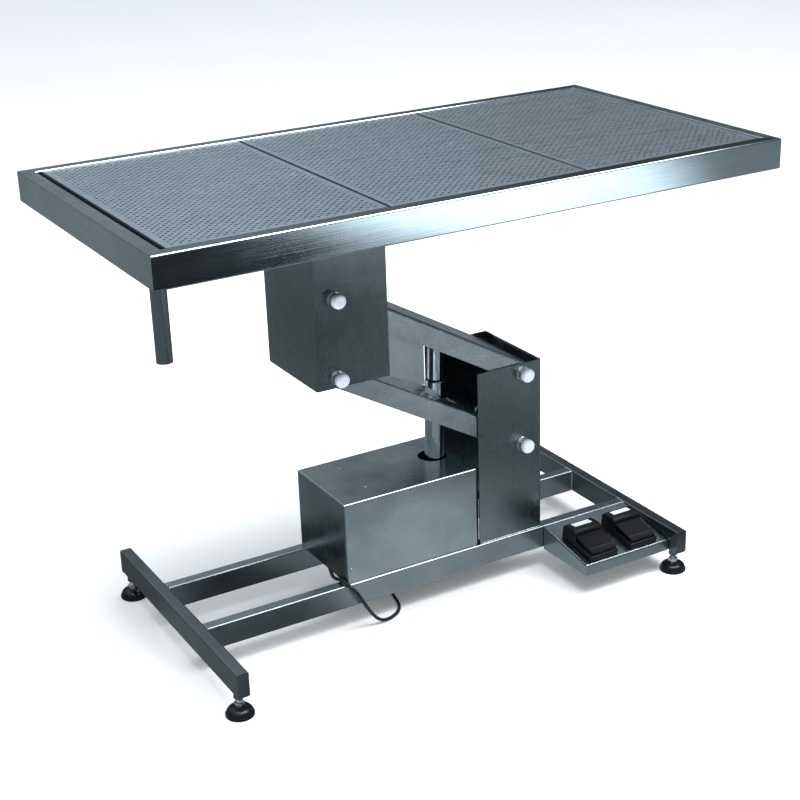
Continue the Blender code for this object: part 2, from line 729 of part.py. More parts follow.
arm("upper_arm", lift_axis, False)
arm("lower_arm", guide_axis, True)

web_under = ARM_DEPTH / 2 - ARM_SHEET - TOUCH


def rod_bracket():
    """A U-shaped bracket under the web of the upper arm, which holds the rod pin."""
    ear_in = EYE_HALF + EAR_GAP
    ear_out = ear_in + EAR_SHEET
    path = rounded([(-ear_out, -EAR_DROP), (-ear_out, web_under), (ear_out, web_under),
                    (ear_out, -EAR_DROP)], 0.006)
    bm = bmesh.new()
    prism(bm, strip(path[::-1], EAR_SHEET), "YZ", -ROD_REACH - EAR_WIDTH / 2, -ROD_REACH + EAR_WIDTH / 2)
    made = piece("rod_bracket", bm, "dark_steel", lift_axis)
    bore = bmesh.new()
    rod(bore, (-ROD_REACH, -CLEVIS_LENGTH, 0), (-ROD_REACH, CLEVIS_LENGTH, 0),
        CLEVIS_PIN_RADIUS + RUNNING, 20)
    boolean(made, bore)


def rod_pin():
    reach = EYE_HALF + EAR_GAP + EAR_SHEET + PIN_STUB
    bm = bmesh.new()
    rod(bm, (-ROD_REACH, -reach, 0), (-ROD_REACH, reach, 0), CLEVIS_PIN_RADIUS, 20)
    piece("rod_pin", bm, "chrome", lift_axis)


def arm_guard_plate():
    """The plate hung under the upper arm, which clears the actuator and the lower arm."""
    far_drop = PIN_SPACING * math.cos(arm_turn) - ARM_DEPTH / 2 - GUARD_GAP
    near_drop = far_drop - GUARD_TAPER
    lean = math.tan(arm_turn)
    near = -GUARD_REACH
    far = near - GUARD_WIDTH
    outline = [(near, -near_drop), (near - (near_drop + web_under) * lean, web_under),
               (far - (far_drop + web_under) * lean, web_under), (far, -far_drop)]
    bm = bmesh.new()
    prism(bm, outline, "XZ", -GUARD_FORWARD - GUARD_SHEET / 2, -GUARD_FORWARD + GUARD_SHEET / 2)
    piece("arm_guard_plate", bm, "steel", lift_axis)


rod_bracket()
rod_pin()
arm_guard_plate()


def actuator_rod():
    """The piston rod with its eye, hanging from the rod pin along -Z of its frame."""
    bottom = -(actuator_length - ACTUATOR_TOP) - ROD_SUNK
    bm = bmesh.new()
    rod(bm, (0, 0, bottom), (0, 0, -ROD_NECK), ROD_RADIUS, 32)
    made = piece("actuator_rod", bm, "chrome", rod_axis)
    eye = bmesh.new()
    rod(eye, (0, -EYE_HALF, 0), (0, EYE_HALF, 0), EYE_RADIUS, 24)
    boolean(made, eye, "UNION")
    neck = bmesh.new()
    block(neck, (-EYE_RADIUS * 0.8, -EYE_HALF * 0.98, -ROD_NECK * 1.3),
          (EYE_RADIUS * 0.8, EYE_HALF * 0.98, -0.002))
    boolean(made, neck, "UNION")
    bore = bmesh.new()
    rod(bore, (0, -2 * EYE_HALF, 0), (0, 2 * EYE_HALF, 0), CLEVIS_PIN_RADIUS + RUNNING, 20)
    boolean(made, bore)


def actuator_tube():
    """The outer tube with the wiper lip at its mouth."""
    low = GEARBOX_BOTTOM + GEARBOX_HEIGHT + TOUCH - actuator_length
    high = ACTUATOR_TOP - actuator_length
    bore = ACTUATOR_RADIUS - ACTUATOR_WALL
    lip = ROD_RADIUS + ROD_PLAY
    edge = MOUTH_LIP / 4
    profile = [(bore, low), (ACTUATOR_RADIUS, low), (ACTUATOR_RADIUS, high - edge),
               (ACTUATOR_RADIUS - edge, high),
               (lip, high), (lip, high - MOUTH_LIP), (bore, high - MOUTH_LIP)]
    piece("actuator_tube", turned(profile, (0, 0, 0), (0, 0, 1), 32), "chrome", rod_axis)


def gearbox():
    """The gear housing with the lug that hangs on the bottom pin."""
    low = GEARBOX_BOTTOM - actuator_length
    bm = bmesh.new()
    block(bm, (-GEARBOX_LEFT, -GEARBOX_WIDTH / 2, low),
          (GEARBOX_RIGHT, GEARBOX_WIDTH / 2, low + GEARBOX_HEIGHT))
    made = piece("gearbox", bm, "dark_steel", rod_axis)
    soften(made, 0.004)
    lug = bmesh.new()
    lug_radius = CLEVIS_PIN_RADIUS + OPEN_PLAY + 0.005
    outline = rounded([(lug_radius, low + 0.006), (lug_radius, -actuator_length - lug_radius),
                       (-lug_radius, -actuator_length - lug_radius), (-lug_radius, low + 0.006)],
                      lug_radius * 0.6)
    prism(lug, outline, "XZ", -EYE_HALF, EYE_HALF)
    boolean(made, lug, "UNION")
    bore = bmesh.new()
    rod(bore, (0, -2 * EYE_HALF, -actuator_length), (0, 2 * EYE_HALF, -actuator_length),
        CLEVIS_PIN_RADIUS + OPEN_PLAY, 24)
    boolean(made, bore)


def motor():
    """The drive motor, which stands on the gearbox beside the tube."""
    low = GEARBOX_BOTTOM + GEARBOX_HEIGHT + TOUCH - actuator_length
    high = low + MOTOR_HEIGHT
    step = 0.004
    profile = [(0.0, low), (MOTOR_RADIUS, low), (MOTOR_RADIUS, high - step), (MOTOR_RADIUS - step, high),
               (0.0, high)]
    piece("motor", turned(profile, (-MOTOR_OFFSET, 0, 0), (0, 0, 1), 28), "black", rod_axis)


actuator_rod()
actuator_tube()
gearbox()
motor()

# Heights under the tray top, measured in the frame of the top box's upper pin
rim_top = TOP_ABOVE_PIN
bearer_low = rim_top - BEARER_DROP
plate_low = bearer_low - MOUNT_PLATE + MOUNT_WELD
box_low = -PIN_SPACING - BOX_TAIL
pin_x = box_upper_pin.x
inner_left = -TOP_LENGTH / 2 + RIM_WIDTH
inner_front = -TOP_WIDTH / 2 + RIM_WIDTH
pan_slope = -PAN_FALL / 2 / (inner_left + inner_front)


def top_box():
    """The folded upright under the tray, open to the right where the arms enter."""
    made = folded_upright("top_box", box_left, box_right, BOX_SHEET, box_upper_pin.z + box_low,
                          box_upper_pin.z + plate_low - TOUCH, top_axis, box_upper_pin)
    holes = pivot_holes([(0.0, 0.0), (0.0, -PIN_SPACING)], COLUMN_WIDTH)
    web = box_left - pin_x
    rod(holes, (web - BOX_SHEET, 0, box_low + BOX_HOLE_RISE),
        (web + 2 * BOX_SHEET, 0, box_low + BOX_HOLE_RISE),
        BOX_HOLE_RADIUS, 12)
    boolean(made, holes)


def pan_rise(x, y):
    """Height of the pan floor at a place of the tray, in the frame of the tray's middle."""
    return rim_top - PAN_DROP + pan_slope * (x - inner_left + y - inner_front)


def top_bearers():
    """A plate on the top box with two channels welded to it, whose tops follow the slope of the pan."""
    bm = bmesh.new()
    for y in (-BEARER_SPREAD / 2, BEARER_SPREAD / 2):
        corners = [(y + BEARER_WIDTH / 2, bearer_low), (y + BEARER_WIDTH / 2, rim_top),
                   (y - BEARER_WIDTH / 2, rim_top), (y - BEARER_WIDTH / 2, bearer_low)]
        prism(bm, strip([Vector(c) for c in corners], BEARER_SHEET), "YZ", -BEARER_LENGTH / 2,
              BEARER_LENGTH / 2)
    for vert in bm.verts:
        if vert.co.z > bearer_low + BEARER_SHEET:
            under_pan = pan_rise(vert.co.x, vert.co.y) - TOP_SHEET - TOUCH
            vert.co.z += under_pan - rim_top
    bmesh.ops.translate(bm, verts=bm.verts, vec=(-pin_x, 0, 0))
    made = piece("top_bearers", bm, "dark_steel", top_axis)
    middle = (box_left + box_right) / 2 - pin_x
    plate = bmesh.new()
    block(plate, (middle - MOUNT_LENGTH / 2, -MOUNT_WIDTH / 2, plate_low),
          (middle + MOUNT_LENGTH / 2, MOUNT_WIDTH / 2, plate_low + MOUNT_PLATE))
    boolean(made, plate, "UNION")


def rim_side(name, length, half_span, quarter, ledge):
    """One side of the folded rim, mitred at both ends, turned into place."""
    corners = [(RIM_LIP, -RIM_HEIGHT), (0.0, -RIM_HEIGHT), (0.0, 0.0), (RIM_WIDTH, 0.0),
               (RIM_WIDTH, -RIM_INNER)]
    outline = strip(rounded(corners, RIM_FOLD)[::-1], TOP_SHEET)
    if ledge:
        high = -PANEL_DROP - PANEL_LIP - TOUCH
        tip = RIM_WIDTH + LEDGE_WIDTH
        shelf = [(RIM_WIDTH, high - LEDGE_SHEET), (tip, high - LEDGE_SHEET), (tip, high), (RIM_WIDTH, high)]
        outline[1:1] = shelf
    bm = bmesh.new()
    prism(bm, [(u - half_span, rim_top + z) for u, z in outline], "YZ", -length / 2, length / 2)
    for side in (-1, 1):
        slice_off(bm, (side * (length / 2 - TOUCH / 2), -half_span, 0.0), (side, 1.0, 0.0))
    turn = Matrix.Translation((-pin_x, 0, 0)) @ Matrix.Rotation(quarter * math.pi / 2, 4, "Z")
    bmesh.ops.transform(bm, matrix=turn, verts=bm.verts)
    piece(name, bm, "steel", top_axis)


def drain_pan():
    """The sloping floor of the tray, lowest at the front left corner, with the drain hole."""
    left = inner_left + TOUCH
    front = inner_front + TOUCH
    bm = bmesh.new()
    block(bm, (left, front, 0.0), (-left, -front, TOP_SHEET))
    for vert in bm.verts:
        vert.co.z += pan_rise(vert.co.x, vert.co.y) - TOP_SHEET
    bmesh.ops.translate(bm, verts=bm.verts, vec=(-pin_x, 0, 0))
    made = piece("drain_pan", bm, "steel", top_axis, smooth_angle=0)
    hole = bmesh.new()
    z = pan_rise(drain_x, drain_y)
    rod(hole, (drain_x - pin_x, drain_y, z - 0.01), (drain_x - pin_x, drain_y, z + 0.01),
        DRAIN_RADIUS - DRAIN_WALL, 24)
    boolean(made, hole)


def drain_pipe():
    high = pan_rise(drain_x - DRAIN_RADIUS, drain_y - DRAIN_RADIUS) - TOP_SHEET - TOUCH
    bore = DRAIN_RADIUS - DRAIN_WALL
    profile = [(bore, 0.0), (DRAIN_RADIUS, 0.0), (DRAIN_RADIUS, DRAIN_LENGTH), (bore, DRAIN_LENGTH)]
    piece("drain_pipe", turned(profile, (drain_x - pin_x, drain_y, high - DRAIN_LENGTH), (0, 0, 1), 28),
          "steel", top_axis)


def panel(name, index):
    """A drop-in panel: a sheet with its four edges turned down."""
    span = -2 * inner_left - FINGER_GAP
    pitch = span / PANEL_COUNT
    left = inner_left + FINGER_GAP + pitch * index
    right = left + pitch - PANEL_GAP
    front = inner_front + PANEL_GAP
    middle = Vector(((left + right) / 2, 0.0, top_z - PANEL_DROP))
    holder = axis_empty(name + "_axis", middle)
    half = (right - left) / 2
    bm = bmesh.new()
    block(bm, (-half, front, -PANEL_LIP), (half, -front, 0.0))
    folds = [e for e in bm.edges if max(v.co.z for v in e.verts) > -TOUCH]
    bmesh.ops.bevel(bm, geom=folds, offset=PANEL_FOLD, segments=3, affect="EDGES", profile=0.5)
    below = [f for f in bm.faces if f.normal.z < -0.9]
    bmesh.ops.delete(bm, geom=below, context="FACES")
    made = piece(name, bm, "steel", holder)
    thicken(made, PANEL_SHEET)


drain_x = inner_left + DRAIN_INSET_X
drain_y = inner_front + DRAIN_INSET_Y
top_box()
pivot_set("box_upper", Vector((0, 0, 0)), top_axis)
pivot_set("box_lower", Vector((0, 0, -PIN_SPACING)), top_axis)
top_bearers()
rim_side("rim_front", TOP_LENGTH, TOP_WIDTH / 2, 0, True)
rim_side("rim_right", TOP_WIDTH, TOP_LENGTH / 2, 1, False)
rim_side("rim_back", TOP_LENGTH, TOP_WIDTH / 2, 2, True)
rim_side("rim_left", TOP_WIDTH, TOP_LENGTH / 2, 3, False)
drain_pan()
drain_pipe()
for index, name in enumerate(("panel_left", "panel_middle", "panel_right")):
    panel(name, index)

# The platform leans forward, and its pedals stand square on it
platform_back = -rail_y - TUBE_WIDTH / 2 - TOUCH
platform_front = platform_back - PLATFORM_DEPTH
platform_right = right_tube_x - TUBE_WIDTH / 2 - TOUCH
platform_tilt = math.atan2(PLATFORM_SINK, PLATFORM_DEPTH)


def pedal_platform():
    """A sloping sheet with its edges turned down, between the front rail and the right cross tube."""
    high = FRAME_TOP - TOUCH
    outline = [(platform_back, high), (platform_back, high - PLATFORM_BACK_LIP),
               (platform_front, high - PLATFORM_SINK - PLATFORM_LIP), (platform_front, high - PLATFORM_SINK)]
    bm = bmesh.new()
    prism(bm, outline, "YZ", platform_right - PLATFORM_WIDTH, platform_right)
    bmesh.ops.recalc_face_normals(bm, faces=bm.faces)
    below = [f for f in bm.faces if f.normal.z < -0.5]
    folds = [e for e in bm.edges if not any(f in below for f in e.link_faces)]
    bmesh.ops.bevel(bm, geom=folds, offset=PLATFORM_FOLD, segments=2, affect="EDGES", profile=0.5)
    below = [f for f in bm.faces if f.normal.z < -0.9]
    bmesh.ops.delete(bm, geom=below, context="FACES")
    made = piece("pedal_platform", bm, "steel")
    thicken(made, PLATFORM_SHEET)


def pedal_frame(name, x):
    """An empty on the platform at the front edge of a pedal, with Y up the slope."""
    rise = FRAME_TOP - TOUCH - PLATFORM_SINK
    lean = Euler((platform_tilt, 0, 0)).to_matrix()
    front = Vector((x, platform_front, rise)) + lean @ Vector((0, PEDAL_MARGIN, TOUCH))
    return axis_empty(name, front, (platform_tilt, 0, 0))


def pedal_base(name, holder):
    """The switch housing: open in front for the treadle, hooded behind."""
    hood = PEDAL_LENGTH - HOOD_LENGTH
    outline = [(0.0, 0.0), (PEDAL_LENGTH, 0.0)]
    back_top = rounded([(PEDAL_LENGTH, 0.0), (PEDAL_LENGTH, HOOD_HEIGHT), (hood, HOOD_HEIGHT),
                        (hood, PEDAL_SIDE), (0.0, PEDAL_SIDE), (0.0, 0.0)], HOOD_ROUND * 0.5, 3)
    outline += [tuple(point) for point in back_top[1:-1]]
    bm = bmesh.new()
    prism(bm, outline, "YZ", -PEDAL_WIDTH / 2, PEDAL_WIDTH / 2)
    made = piece(name, bm, "black", holder)
    soften(made, 0.0025)
    room = bmesh.new()
    half = PEDAL_WIDTH / 2 - PEDAL_WALL
    roof = HOOD_HEIGHT - HOOD_ROOF
    back = PEDAL_LENGTH - 2 * PEDAL_WALL
    prism(room, [(PEDAL_WALL, PEDAL_FLOOR), (back, PEDAL_FLOOR), (back, roof), (PEDAL_WALL, roof)], "YZ",
          -half, half)
    boolean(made, room)
    bore = bmesh.new()
    y = PEDAL_LENGTH - HINGE_BACK
    rod(bore, (-PEDAL_WIDTH, y, HINGE_RISE), (PEDAL_WIDTH, y, HINGE_RISE), HINGE_RADIUS + RUNNING, 12)
    boolean(made, bore)


def treadle(name, holder):
    """The hinged foot plate, with a ridge across it near the front edge."""
    hinge_y = PEDAL_LENGTH - HINGE_BACK
    swing = axis_empty(name + "_axis", (0, hinge_y, HINGE_RISE))
    swing.parent = holder
    front = PEDAL_WALL + TREADLE_PLAY
    back = hinge_y + TREADLE_TAIL
    half = PEDAL_WIDTH / 2 - PEDAL_WALL - TREADLE_PLAY
    slope = (TREADLE_BACK_RISE - TREADLE_FRONT_RISE) / (back - front)

    def top(y):
        return TREADLE_FRONT_RISE + TREADLE_SHEET + slope * (y - front)

    ridge = front + RIDGE_BACK
    upper = [(back, top(back) - TREADLE_SHEET * 0.4), (back - TREADLE_SHEET, top(back - TREADLE_SHEET)),
             (ridge + RIDGE_HALF, top(ridge + RIDGE_HALF)), (ridge, top(ridge) + RIDGE_HEIGHT),
             (ridge - RIDGE_HALF, top(ridge - RIDGE_HALF)), (front + TREADLE_SHEET * 0.3, top(front)),
             (front, top(front) - TREADLE_SHEET * 0.3)]
    lower = [(front, TREADLE_FRONT_RISE),
             (hinge_y - TREADLE_TAIL, TREADLE_BACK_RISE - slope * 2 * TREADLE_TAIL),
             (hinge_y - HINGE_RADIUS * 2, HINGE_RISE - HINGE_RADIUS * 2),
             (hinge_y + HINGE_RADIUS * 2, HINGE_RISE - HINGE_RADIUS * 2), (back, TREADLE_BACK_RISE)]
    outline = [(y - hinge_y, z - HINGE_RISE) for y, z in upper + lower]
    bm = bmesh.new()
    prism(bm, outline, "YZ", -half, half)
    made = piece(name, bm, "black", swing)
    soften(made, 0.0008, 1)
    bore = bmesh.new()
    rod(bore, (-PEDAL_WIDTH, 0, 0), (PEDAL_WIDTH, 0, 0), HINGE_RADIUS + RUNNING, 12)
    boolean(made, bore)


pedal_platform()
for index, side in enumerate(("left", "right")):
    pedal_x = platform_right - PEDAL_INSET - PEDAL_PITCH * (1 - index)
    stand = pedal_frame("pedal_frame_" + side, pedal_x)
    pedal_base("pedal_base_" + side, stand)
    treadle("treadle_" + side, stand)
    pin = bmesh.new()
    reach = PEDAL_WIDTH / 2 - TOUCH
    rod(pin, (-reach, PEDAL_LENGTH - HINGE_BACK, HINGE_RISE), (reach, PEDAL_LENGTH - HINGE_BACK, HINGE_RISE),
        HINGE_RADIUS, 12)
    piece("treadle_pin_" + side, pin, "chrome", stand)


# Mains lead: route points from the middle of the base, chosen by hand
cord_floor = CORD_RADIUS + TOUCH
relief_z = seat - TOUCH - RELIEF_RADIUS
route = [
    (-0.1755, 0.0060, relief_z),
    (-0.1785, -0.0035, relief_z),
    (-0.1825, -0.0160, 0.0922),
    (-0.1868, -0.0300, 0.0911),
    (-0.1905, -0.0435, 0.0915),
    (-0.1933, -0.0570, 0.0943),
    (-0.1951, -0.0700, 0.0990),
    (-0.1957, -0.0830, 0.1036),
    (-0.1949, -0.0960, 0.1060),
    (-0.1923, -0.1080, 0.1046),
    (-0.1878, -0.1178, 0.0992),
    (-0.1815, -0.1244, 0.0904),
    (-0.1742, -0.1278, 0.0776),
    (-0.1658, -0.1285, 0.0614),
    (-0.1563, -0.1274, 0.0446),
    (-0.1460, -0.1256, 0.0290),
    (-0.1345, -0.1238, 0.0152),
    (-0.1210, -0.1220, 0.0066),
    (-0.1060, -0.1190, cord_floor),
    (-0.0900, -0.1130, cord_floor),
    (-0.0760, -0.1030, cord_floor),
    (-0.0650, -0.0890, cord_floor),
    (-0.0580, -0.0700, cord_floor),
    (-0.0530, -0.0480, cord_floor),
    (-0.0480, -0.0240, cord_floor),
    (-0.0430, 0.0000, cord_floor),
    (-0.0385, 0.0220, cord_floor),
    (-0.0358, 0.0430, cord_floor),
]


def curve_through(points, per_span):
    """A smooth curve that passes through every point."""
    padded = [points[0] * 2 - points[1]] + points + [points[-1] * 2 - points[-2]]
    path = []
    for a, b, c, d in zip(padded, padded[1:], padded[2:], padded[3:]):
        for step in range(per_span):
            t = step / per_span
            path.append(0.5 * ((2 * b) + (c - a) * t + (2 * a - 5 * b + 4 * c - d) * t ** 2
                               + (3 * b - a - 3 * c + d) * t ** 3))
    path.append(points[-1])
    return path


def cord_tube(name, path):
    curve = bpy.data.curves.new(name, "CURVE")
    curve.dimensions = "3D"
    curve.bevel_depth = CORD_RADIUS
    curve.bevel_resolution = 2
    curve.use_fill_caps = True
    spline = curve.splines.new("POLY")
    spline.points.add(len(path) - 1)
    for point, place in zip(spline.points, path):
        point.co = (*place, 1.0)
    made = bpy.data.objects.new(name, curve)
    made.data.materials.append(material(name, *finishes["black"]))
    parts.objects.link(made)


coil_centre = Vector((BASE_X + COIL_X, COIL_Y, 0.0))
coil_outer = COIL_RADIUS + COIL_ROWS * CORD_RADIUS
coil_beside = coil_outer + TOUCH + CORD_RADIUS
coil_height = COIL_LAYERS * 2 * CORD_RADIUS


def cord_lead():
    points = [Vector((BASE_X + x, y, z)) for x, y, z in route]
    points[0] += (points[1] - points[0]).normalized() * TOUCH
    points.append(coil_centre + Vector((-coil_beside, 0.0, cord_floor)))
    cord_tube("cord_lead", curve_through(points, 2))


def cord_coil():
    inner = COIL_RADIUS - COIL_ROWS * CORD_RADIUS
    profile = [(inner, 0.0), (coil_outer, 0.0), (coil_outer, coil_height), (inner, coil_height)]
    piece("cord_coil", turned(profile, coil_centre + Vector((0, 0, TOUCH)), (0, 0, 1), 32), "black")


def plug():
    """The last of the lead and its round two-prong mains plug, on the floor beside the coil."""
    start = coil_centre + Vector((coil_beside, 0.0, plug_z))
    edge = 0.003
    tail = TAIL_LENGTH
    body = tail + PLUG_TAIL
    end = body + PLUG_BODY
    profile = [(0.0, 0.0), (CORD_RADIUS, 0.0), (CORD_RADIUS, tail), (RELIEF_TIP_RADIUS, tail),
               (RELIEF_RADIUS, tail + PLUG_TAIL * 0.7), (PLUG_RADIUS - edge, body),
               (PLUG_RADIUS, body + edge), (PLUG_RADIUS, end), (0.0, end)]
    made = piece("plug", turned(profile, start, (0, -1, 0), 20), "black")
    prongs = bmesh.new()
    for side in (-1, 1):
        foot_place = start + Vector((side * PRONG_SPREAD, edge - end, 0))
        rod(prongs, foot_place, foot_place - Vector((0, PRONG_LENGTH + edge, 0)), PRONG_RADIUS, 12)
    boolean(made, prongs, "UNION")


def strain_relief():
    """The tapered sleeve under the bed plate where the lead comes out."""
    tip = Vector((BASE_X + route[0][0], route[0][1], route[0][2]))
    ahead = Vector((BASE_X + route[1][0], route[1][1], route[1][2])) - tip
    profile = [(0.0, 0.0), (RELIEF_RADIUS, 0.0), (RELIEF_RADIUS, RELIEF_LENGTH * 0.3),
               (RELIEF_TIP_RADIUS, RELIEF_LENGTH), (0.0, RELIEF_LENGTH)]
    piece("strain_relief", turned(profile, tip - ahead.normalized() * RELIEF_LENGTH, ahead, 16), "black")


plug_z = PLUG_RADIUS + TOUCH
strain_relief()
cord_lead()
cord_coil()
plug()
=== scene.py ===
import math

import bmesh
import bpy
from mathutils import Matrix, Vector


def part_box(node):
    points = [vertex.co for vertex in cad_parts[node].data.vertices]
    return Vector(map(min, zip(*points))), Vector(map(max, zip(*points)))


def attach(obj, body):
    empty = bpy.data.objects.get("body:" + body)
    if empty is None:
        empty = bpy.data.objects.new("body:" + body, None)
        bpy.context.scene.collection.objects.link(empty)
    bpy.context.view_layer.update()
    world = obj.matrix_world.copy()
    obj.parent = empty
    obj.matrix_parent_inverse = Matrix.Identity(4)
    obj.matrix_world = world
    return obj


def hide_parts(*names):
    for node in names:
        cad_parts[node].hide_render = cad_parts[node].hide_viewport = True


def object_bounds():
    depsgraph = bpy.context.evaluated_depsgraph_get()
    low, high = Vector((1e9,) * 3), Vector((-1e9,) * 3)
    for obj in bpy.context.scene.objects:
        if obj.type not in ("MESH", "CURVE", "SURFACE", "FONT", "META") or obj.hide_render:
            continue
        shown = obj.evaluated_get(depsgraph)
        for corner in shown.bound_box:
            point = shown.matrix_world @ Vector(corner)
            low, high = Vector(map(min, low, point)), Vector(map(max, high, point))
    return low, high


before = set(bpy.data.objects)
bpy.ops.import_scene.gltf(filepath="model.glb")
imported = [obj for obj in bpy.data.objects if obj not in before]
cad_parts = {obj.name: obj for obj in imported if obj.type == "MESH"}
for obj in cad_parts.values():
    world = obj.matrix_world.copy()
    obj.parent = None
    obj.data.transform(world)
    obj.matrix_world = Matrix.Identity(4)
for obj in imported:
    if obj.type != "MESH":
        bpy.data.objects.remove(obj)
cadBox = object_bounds()

camera = {
    "place": (-1.4896, -2.5956, 1.6409),
    "yaw": 29.46,
    "pitch": -22.32,
    "roll": -1.95,
    "lens": 71.7,
}


def makeCamera(values):
    yaw, pitch, roll = (math.radians(values[key]) for key in ("yaw", "pitch", "roll"))
    ahead = Vector((math.sin(yaw) * math.cos(pitch), math.cos(yaw) * math.cos(pitch), math.sin(pitch)))
    right = Vector((math.cos(yaw), -math.sin(yaw), 0))
    up = right.cross(ahead)
    rolledRight = right * math.cos(roll) + up * math.sin(roll)
    rolledUp = up * math.cos(roll) - right * math.sin(roll)
    data = bpy.data.cameras.new("studioCamera")
    data.sensor_width = 36
    data.lens = values["lens"]
    data.clip_end = 50
    made = bpy.data.objects.new("studioCamera", data)
    bpy.context.scene.collection.objects.link(made)
    turn = Matrix((rolledRight, rolledUp, -ahead)).transposed().to_4x4()
    made.matrix_world = Matrix.Translation(values["place"]) @ turn
    bpy.context.scene.camera = made


makeCamera(camera)
print("camera in place")


class Wire:  # an output socket that can be used in plain arithmetic

    def __init__(self, graph, socket):
        self.graph = graph
        self.socket = socket

    def join(self, operation, other, swapped=False):
        first, second = (other, self) if swapped else (self, other)
        return self.graph.node("ShaderNodeMath", {"operation": operation}, {0: first, 1: second})

    def __add__(self, other):
        return self.join("ADD", other)

    def __radd__(self, other):
        return self.join("ADD", other, True)

    def __sub__(self, other):
        return self.join("SUBTRACT", other)

    def __rsub__(self, other):
        return self.join("SUBTRACT", other, True)

    def __mul__(self, other):
        return self.join("MULTIPLY", other)

    def __rmul__(self, other):
        return self.join("MULTIPLY", other, True)

    def __truediv__(self, other):
        return self.join("DIVIDE", other)

    def __rtruediv__(self, other):
        return self.join("DIVIDE", other, True)

    def __gt__(self, other):
        return self.join("GREATER_THAN", other)

    def __lt__(self, other):
        return self.join("LESS_THAN", other)


class Graph:

    def feed(self, socket, value):
        for one in value if isinstance(value, list) else [value]:
            if isinstance(one, Wire):
                self.tree.links.new(one.socket, socket)
            else:
                socket.default_value = one

    def node(self, kind, settings=None, inputs=None, output=0):
        made = self.tree.nodes.new(kind)
        for key, value in (settings or {}).items():
            if key == "stops":
                while len(made.color_ramp.elements) < len(value):
                    made.color_ramp.elements.new(1.0)
                for element, (place, colour) in zip(made.color_ramp.elements, value):
                    element.position = place
                    element.color = colour
            else:
                setattr(made, key, value)
        for key, value in (inputs or {}).items():
            self.feed(made.inputs[key], value)
        return Wire(self, made.outputs[output])


class Look(Graph):  # one finish

    def __init__(self, name):
        self.material = bpy.data.materials.new(name)
        self.material.use_nodes = True
        self.tree = self.material.node_tree
        self.shader = self.tree.nodes["Principled BSDF"]

    def coords(self, scale=(1, 1, 1), place=(0, 0, 0)):
        raw = self.node("ShaderNodeTexCoord", output="Object")
        return self.node("ShaderNodeMapping", {}, {"Vector": raw, "Scale": scale, "Location": place})

    def noise(self, where, scale, detail=4.0, roughness=0.55, distortion=0.0):
        return self.node("ShaderNodeTexNoise", {}, {"Vector": where, "Scale": scale, "Detail": detail,
                                                    "Roughness": roughness, "Distortion": distortion})

    def remap(self, factor, low, high, newLow, newHigh):
        values = {"Value": factor, "From Min": low, "From Max": high, "To Min": newLow, "To Max": newHigh}
        return self.node("ShaderNodeMapRange", {"clamp": True}, values)

    def mixed(self, factor, one, other, blend="MIX"):
        made = self.tree.nodes.new("ShaderNodeMix")
        made.data_type = "RGBA"
        made.blend_type = blend
        colours = [socket for socket in made.inputs if socket.type == "RGBA"]
        self.feed(made.inputs[0], factor)
        self.feed(colours[0], one if isinstance(one, Wire) else (*one, 1))
        self.feed(colours[1], other if isinstance(other, Wire) else (*other, 1))
        return Wire(self, [out for out in made.outputs if out.type == "RGBA"][0])

    def bump(self, height, strength, distance):
        return self.node("ShaderNodeBump", {}, {"Height": height, "Strength": strength, "Distance": distance})

    def surface(self, **values):
        names = {"colour": "Base Color", "roughness": "Roughness", "metallic": "Metallic", "normal": "Normal",
                 "glow": "Emission Color"}
        for key, value in values.items():
            if key in ("colour", "glow") and not isinstance(value, Wire):
                value = (*value, 1)
            self.feed(self.shader.inputs[names[key]], value)
        return self.material


class Rule(Graph):  # one geometry tree, whose input names are the keys given to it

    def __init__(self, name, **inputs):
        self.tree = bpy.data.node_groups.new(name, "GeometryNodeTree")
        sockets = self.tree.interface
        sockets.new_socket("Geometry", in_out="INPUT", socket_type="NodeSocketGeometry")
        for key, kind in inputs.items():
            sockets.new_socket(key, in_out="INPUT", socket_type="NodeSocket" + kind)
        sockets.new_socket("finish", in_out="INPUT", socket_type="NodeSocketMaterial")
        sockets.new_socket("Geometry", in_out="OUTPUT", socket_type="NodeSocketGeometry")
        entry = self.tree.nodes.new("NodeGroupInput")
        self.entry = {socket.name: Wire(self, socket) for socket in entry.outputs if socket.name}

    def join(self, *parts):
        return self.node("GeometryNodeJoinGeometry", {}, {0: list(parts)})

    def shifted(self, geometry, x=0.0, y=0.0, z=0.0):
        offset = self.node("ShaderNodeCombineXYZ", {}, {0: x, 1: y, 2: z})
        return self.node("GeometryNodeSetPosition", {}, {"Geometry": geometry, "Offset": offset})

    def onPoints(self, points, instance, **more):
        return self.node("GeometryNodeInstanceOnPoints", {}, {"Points": points, "Instance": instance, **more})

    def close(self, geometry):
        realised = self.node("GeometryNodeRealizeInstances", {}, {0: geometry})
        dressed = self.node("GeometryNodeSetMaterial", {}, {"Geometry": realised,
                                                            "Material": self.entry["finish"]})
        end = self.tree.nodes.new("NodeGroupOutput")
        self.tree.links.new(dressed.socket, end.inputs[0])

    def make(self, name, mesh, body, finish, sharpAngle=35, **values):
        thing = bpy.data.objects.new(name, mesh)
        bpy.context.scene.collection.objects.link(thing)
        modifier = thing.modifiers.new("rule", "NODES")
        modifier.node_group = self.tree
        for item in self.tree.interface.items_tree:
            if item.in_out == "INPUT" and item.name in values:
                value = values[item.name]
                modifier[item.identifier] = tuple(value) if isinstance(value, Vector) else value
            if item.in_out == "INPUT" and item.name == "finish":
                modifier[item.identifier] = finish
        ready = thing.evaluated_get(bpy.context.evaluated_depsgraph_get())
        made = bpy.data.meshes.new_from_object(ready)
        thing.modifiers.remove(modifier)
        thing.data = made
        made.name = name
        made.shade_smooth()
        made.set_sharp_from_angle(angle=math.radians(sharpAngle))
        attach(thing, body)
        return thing


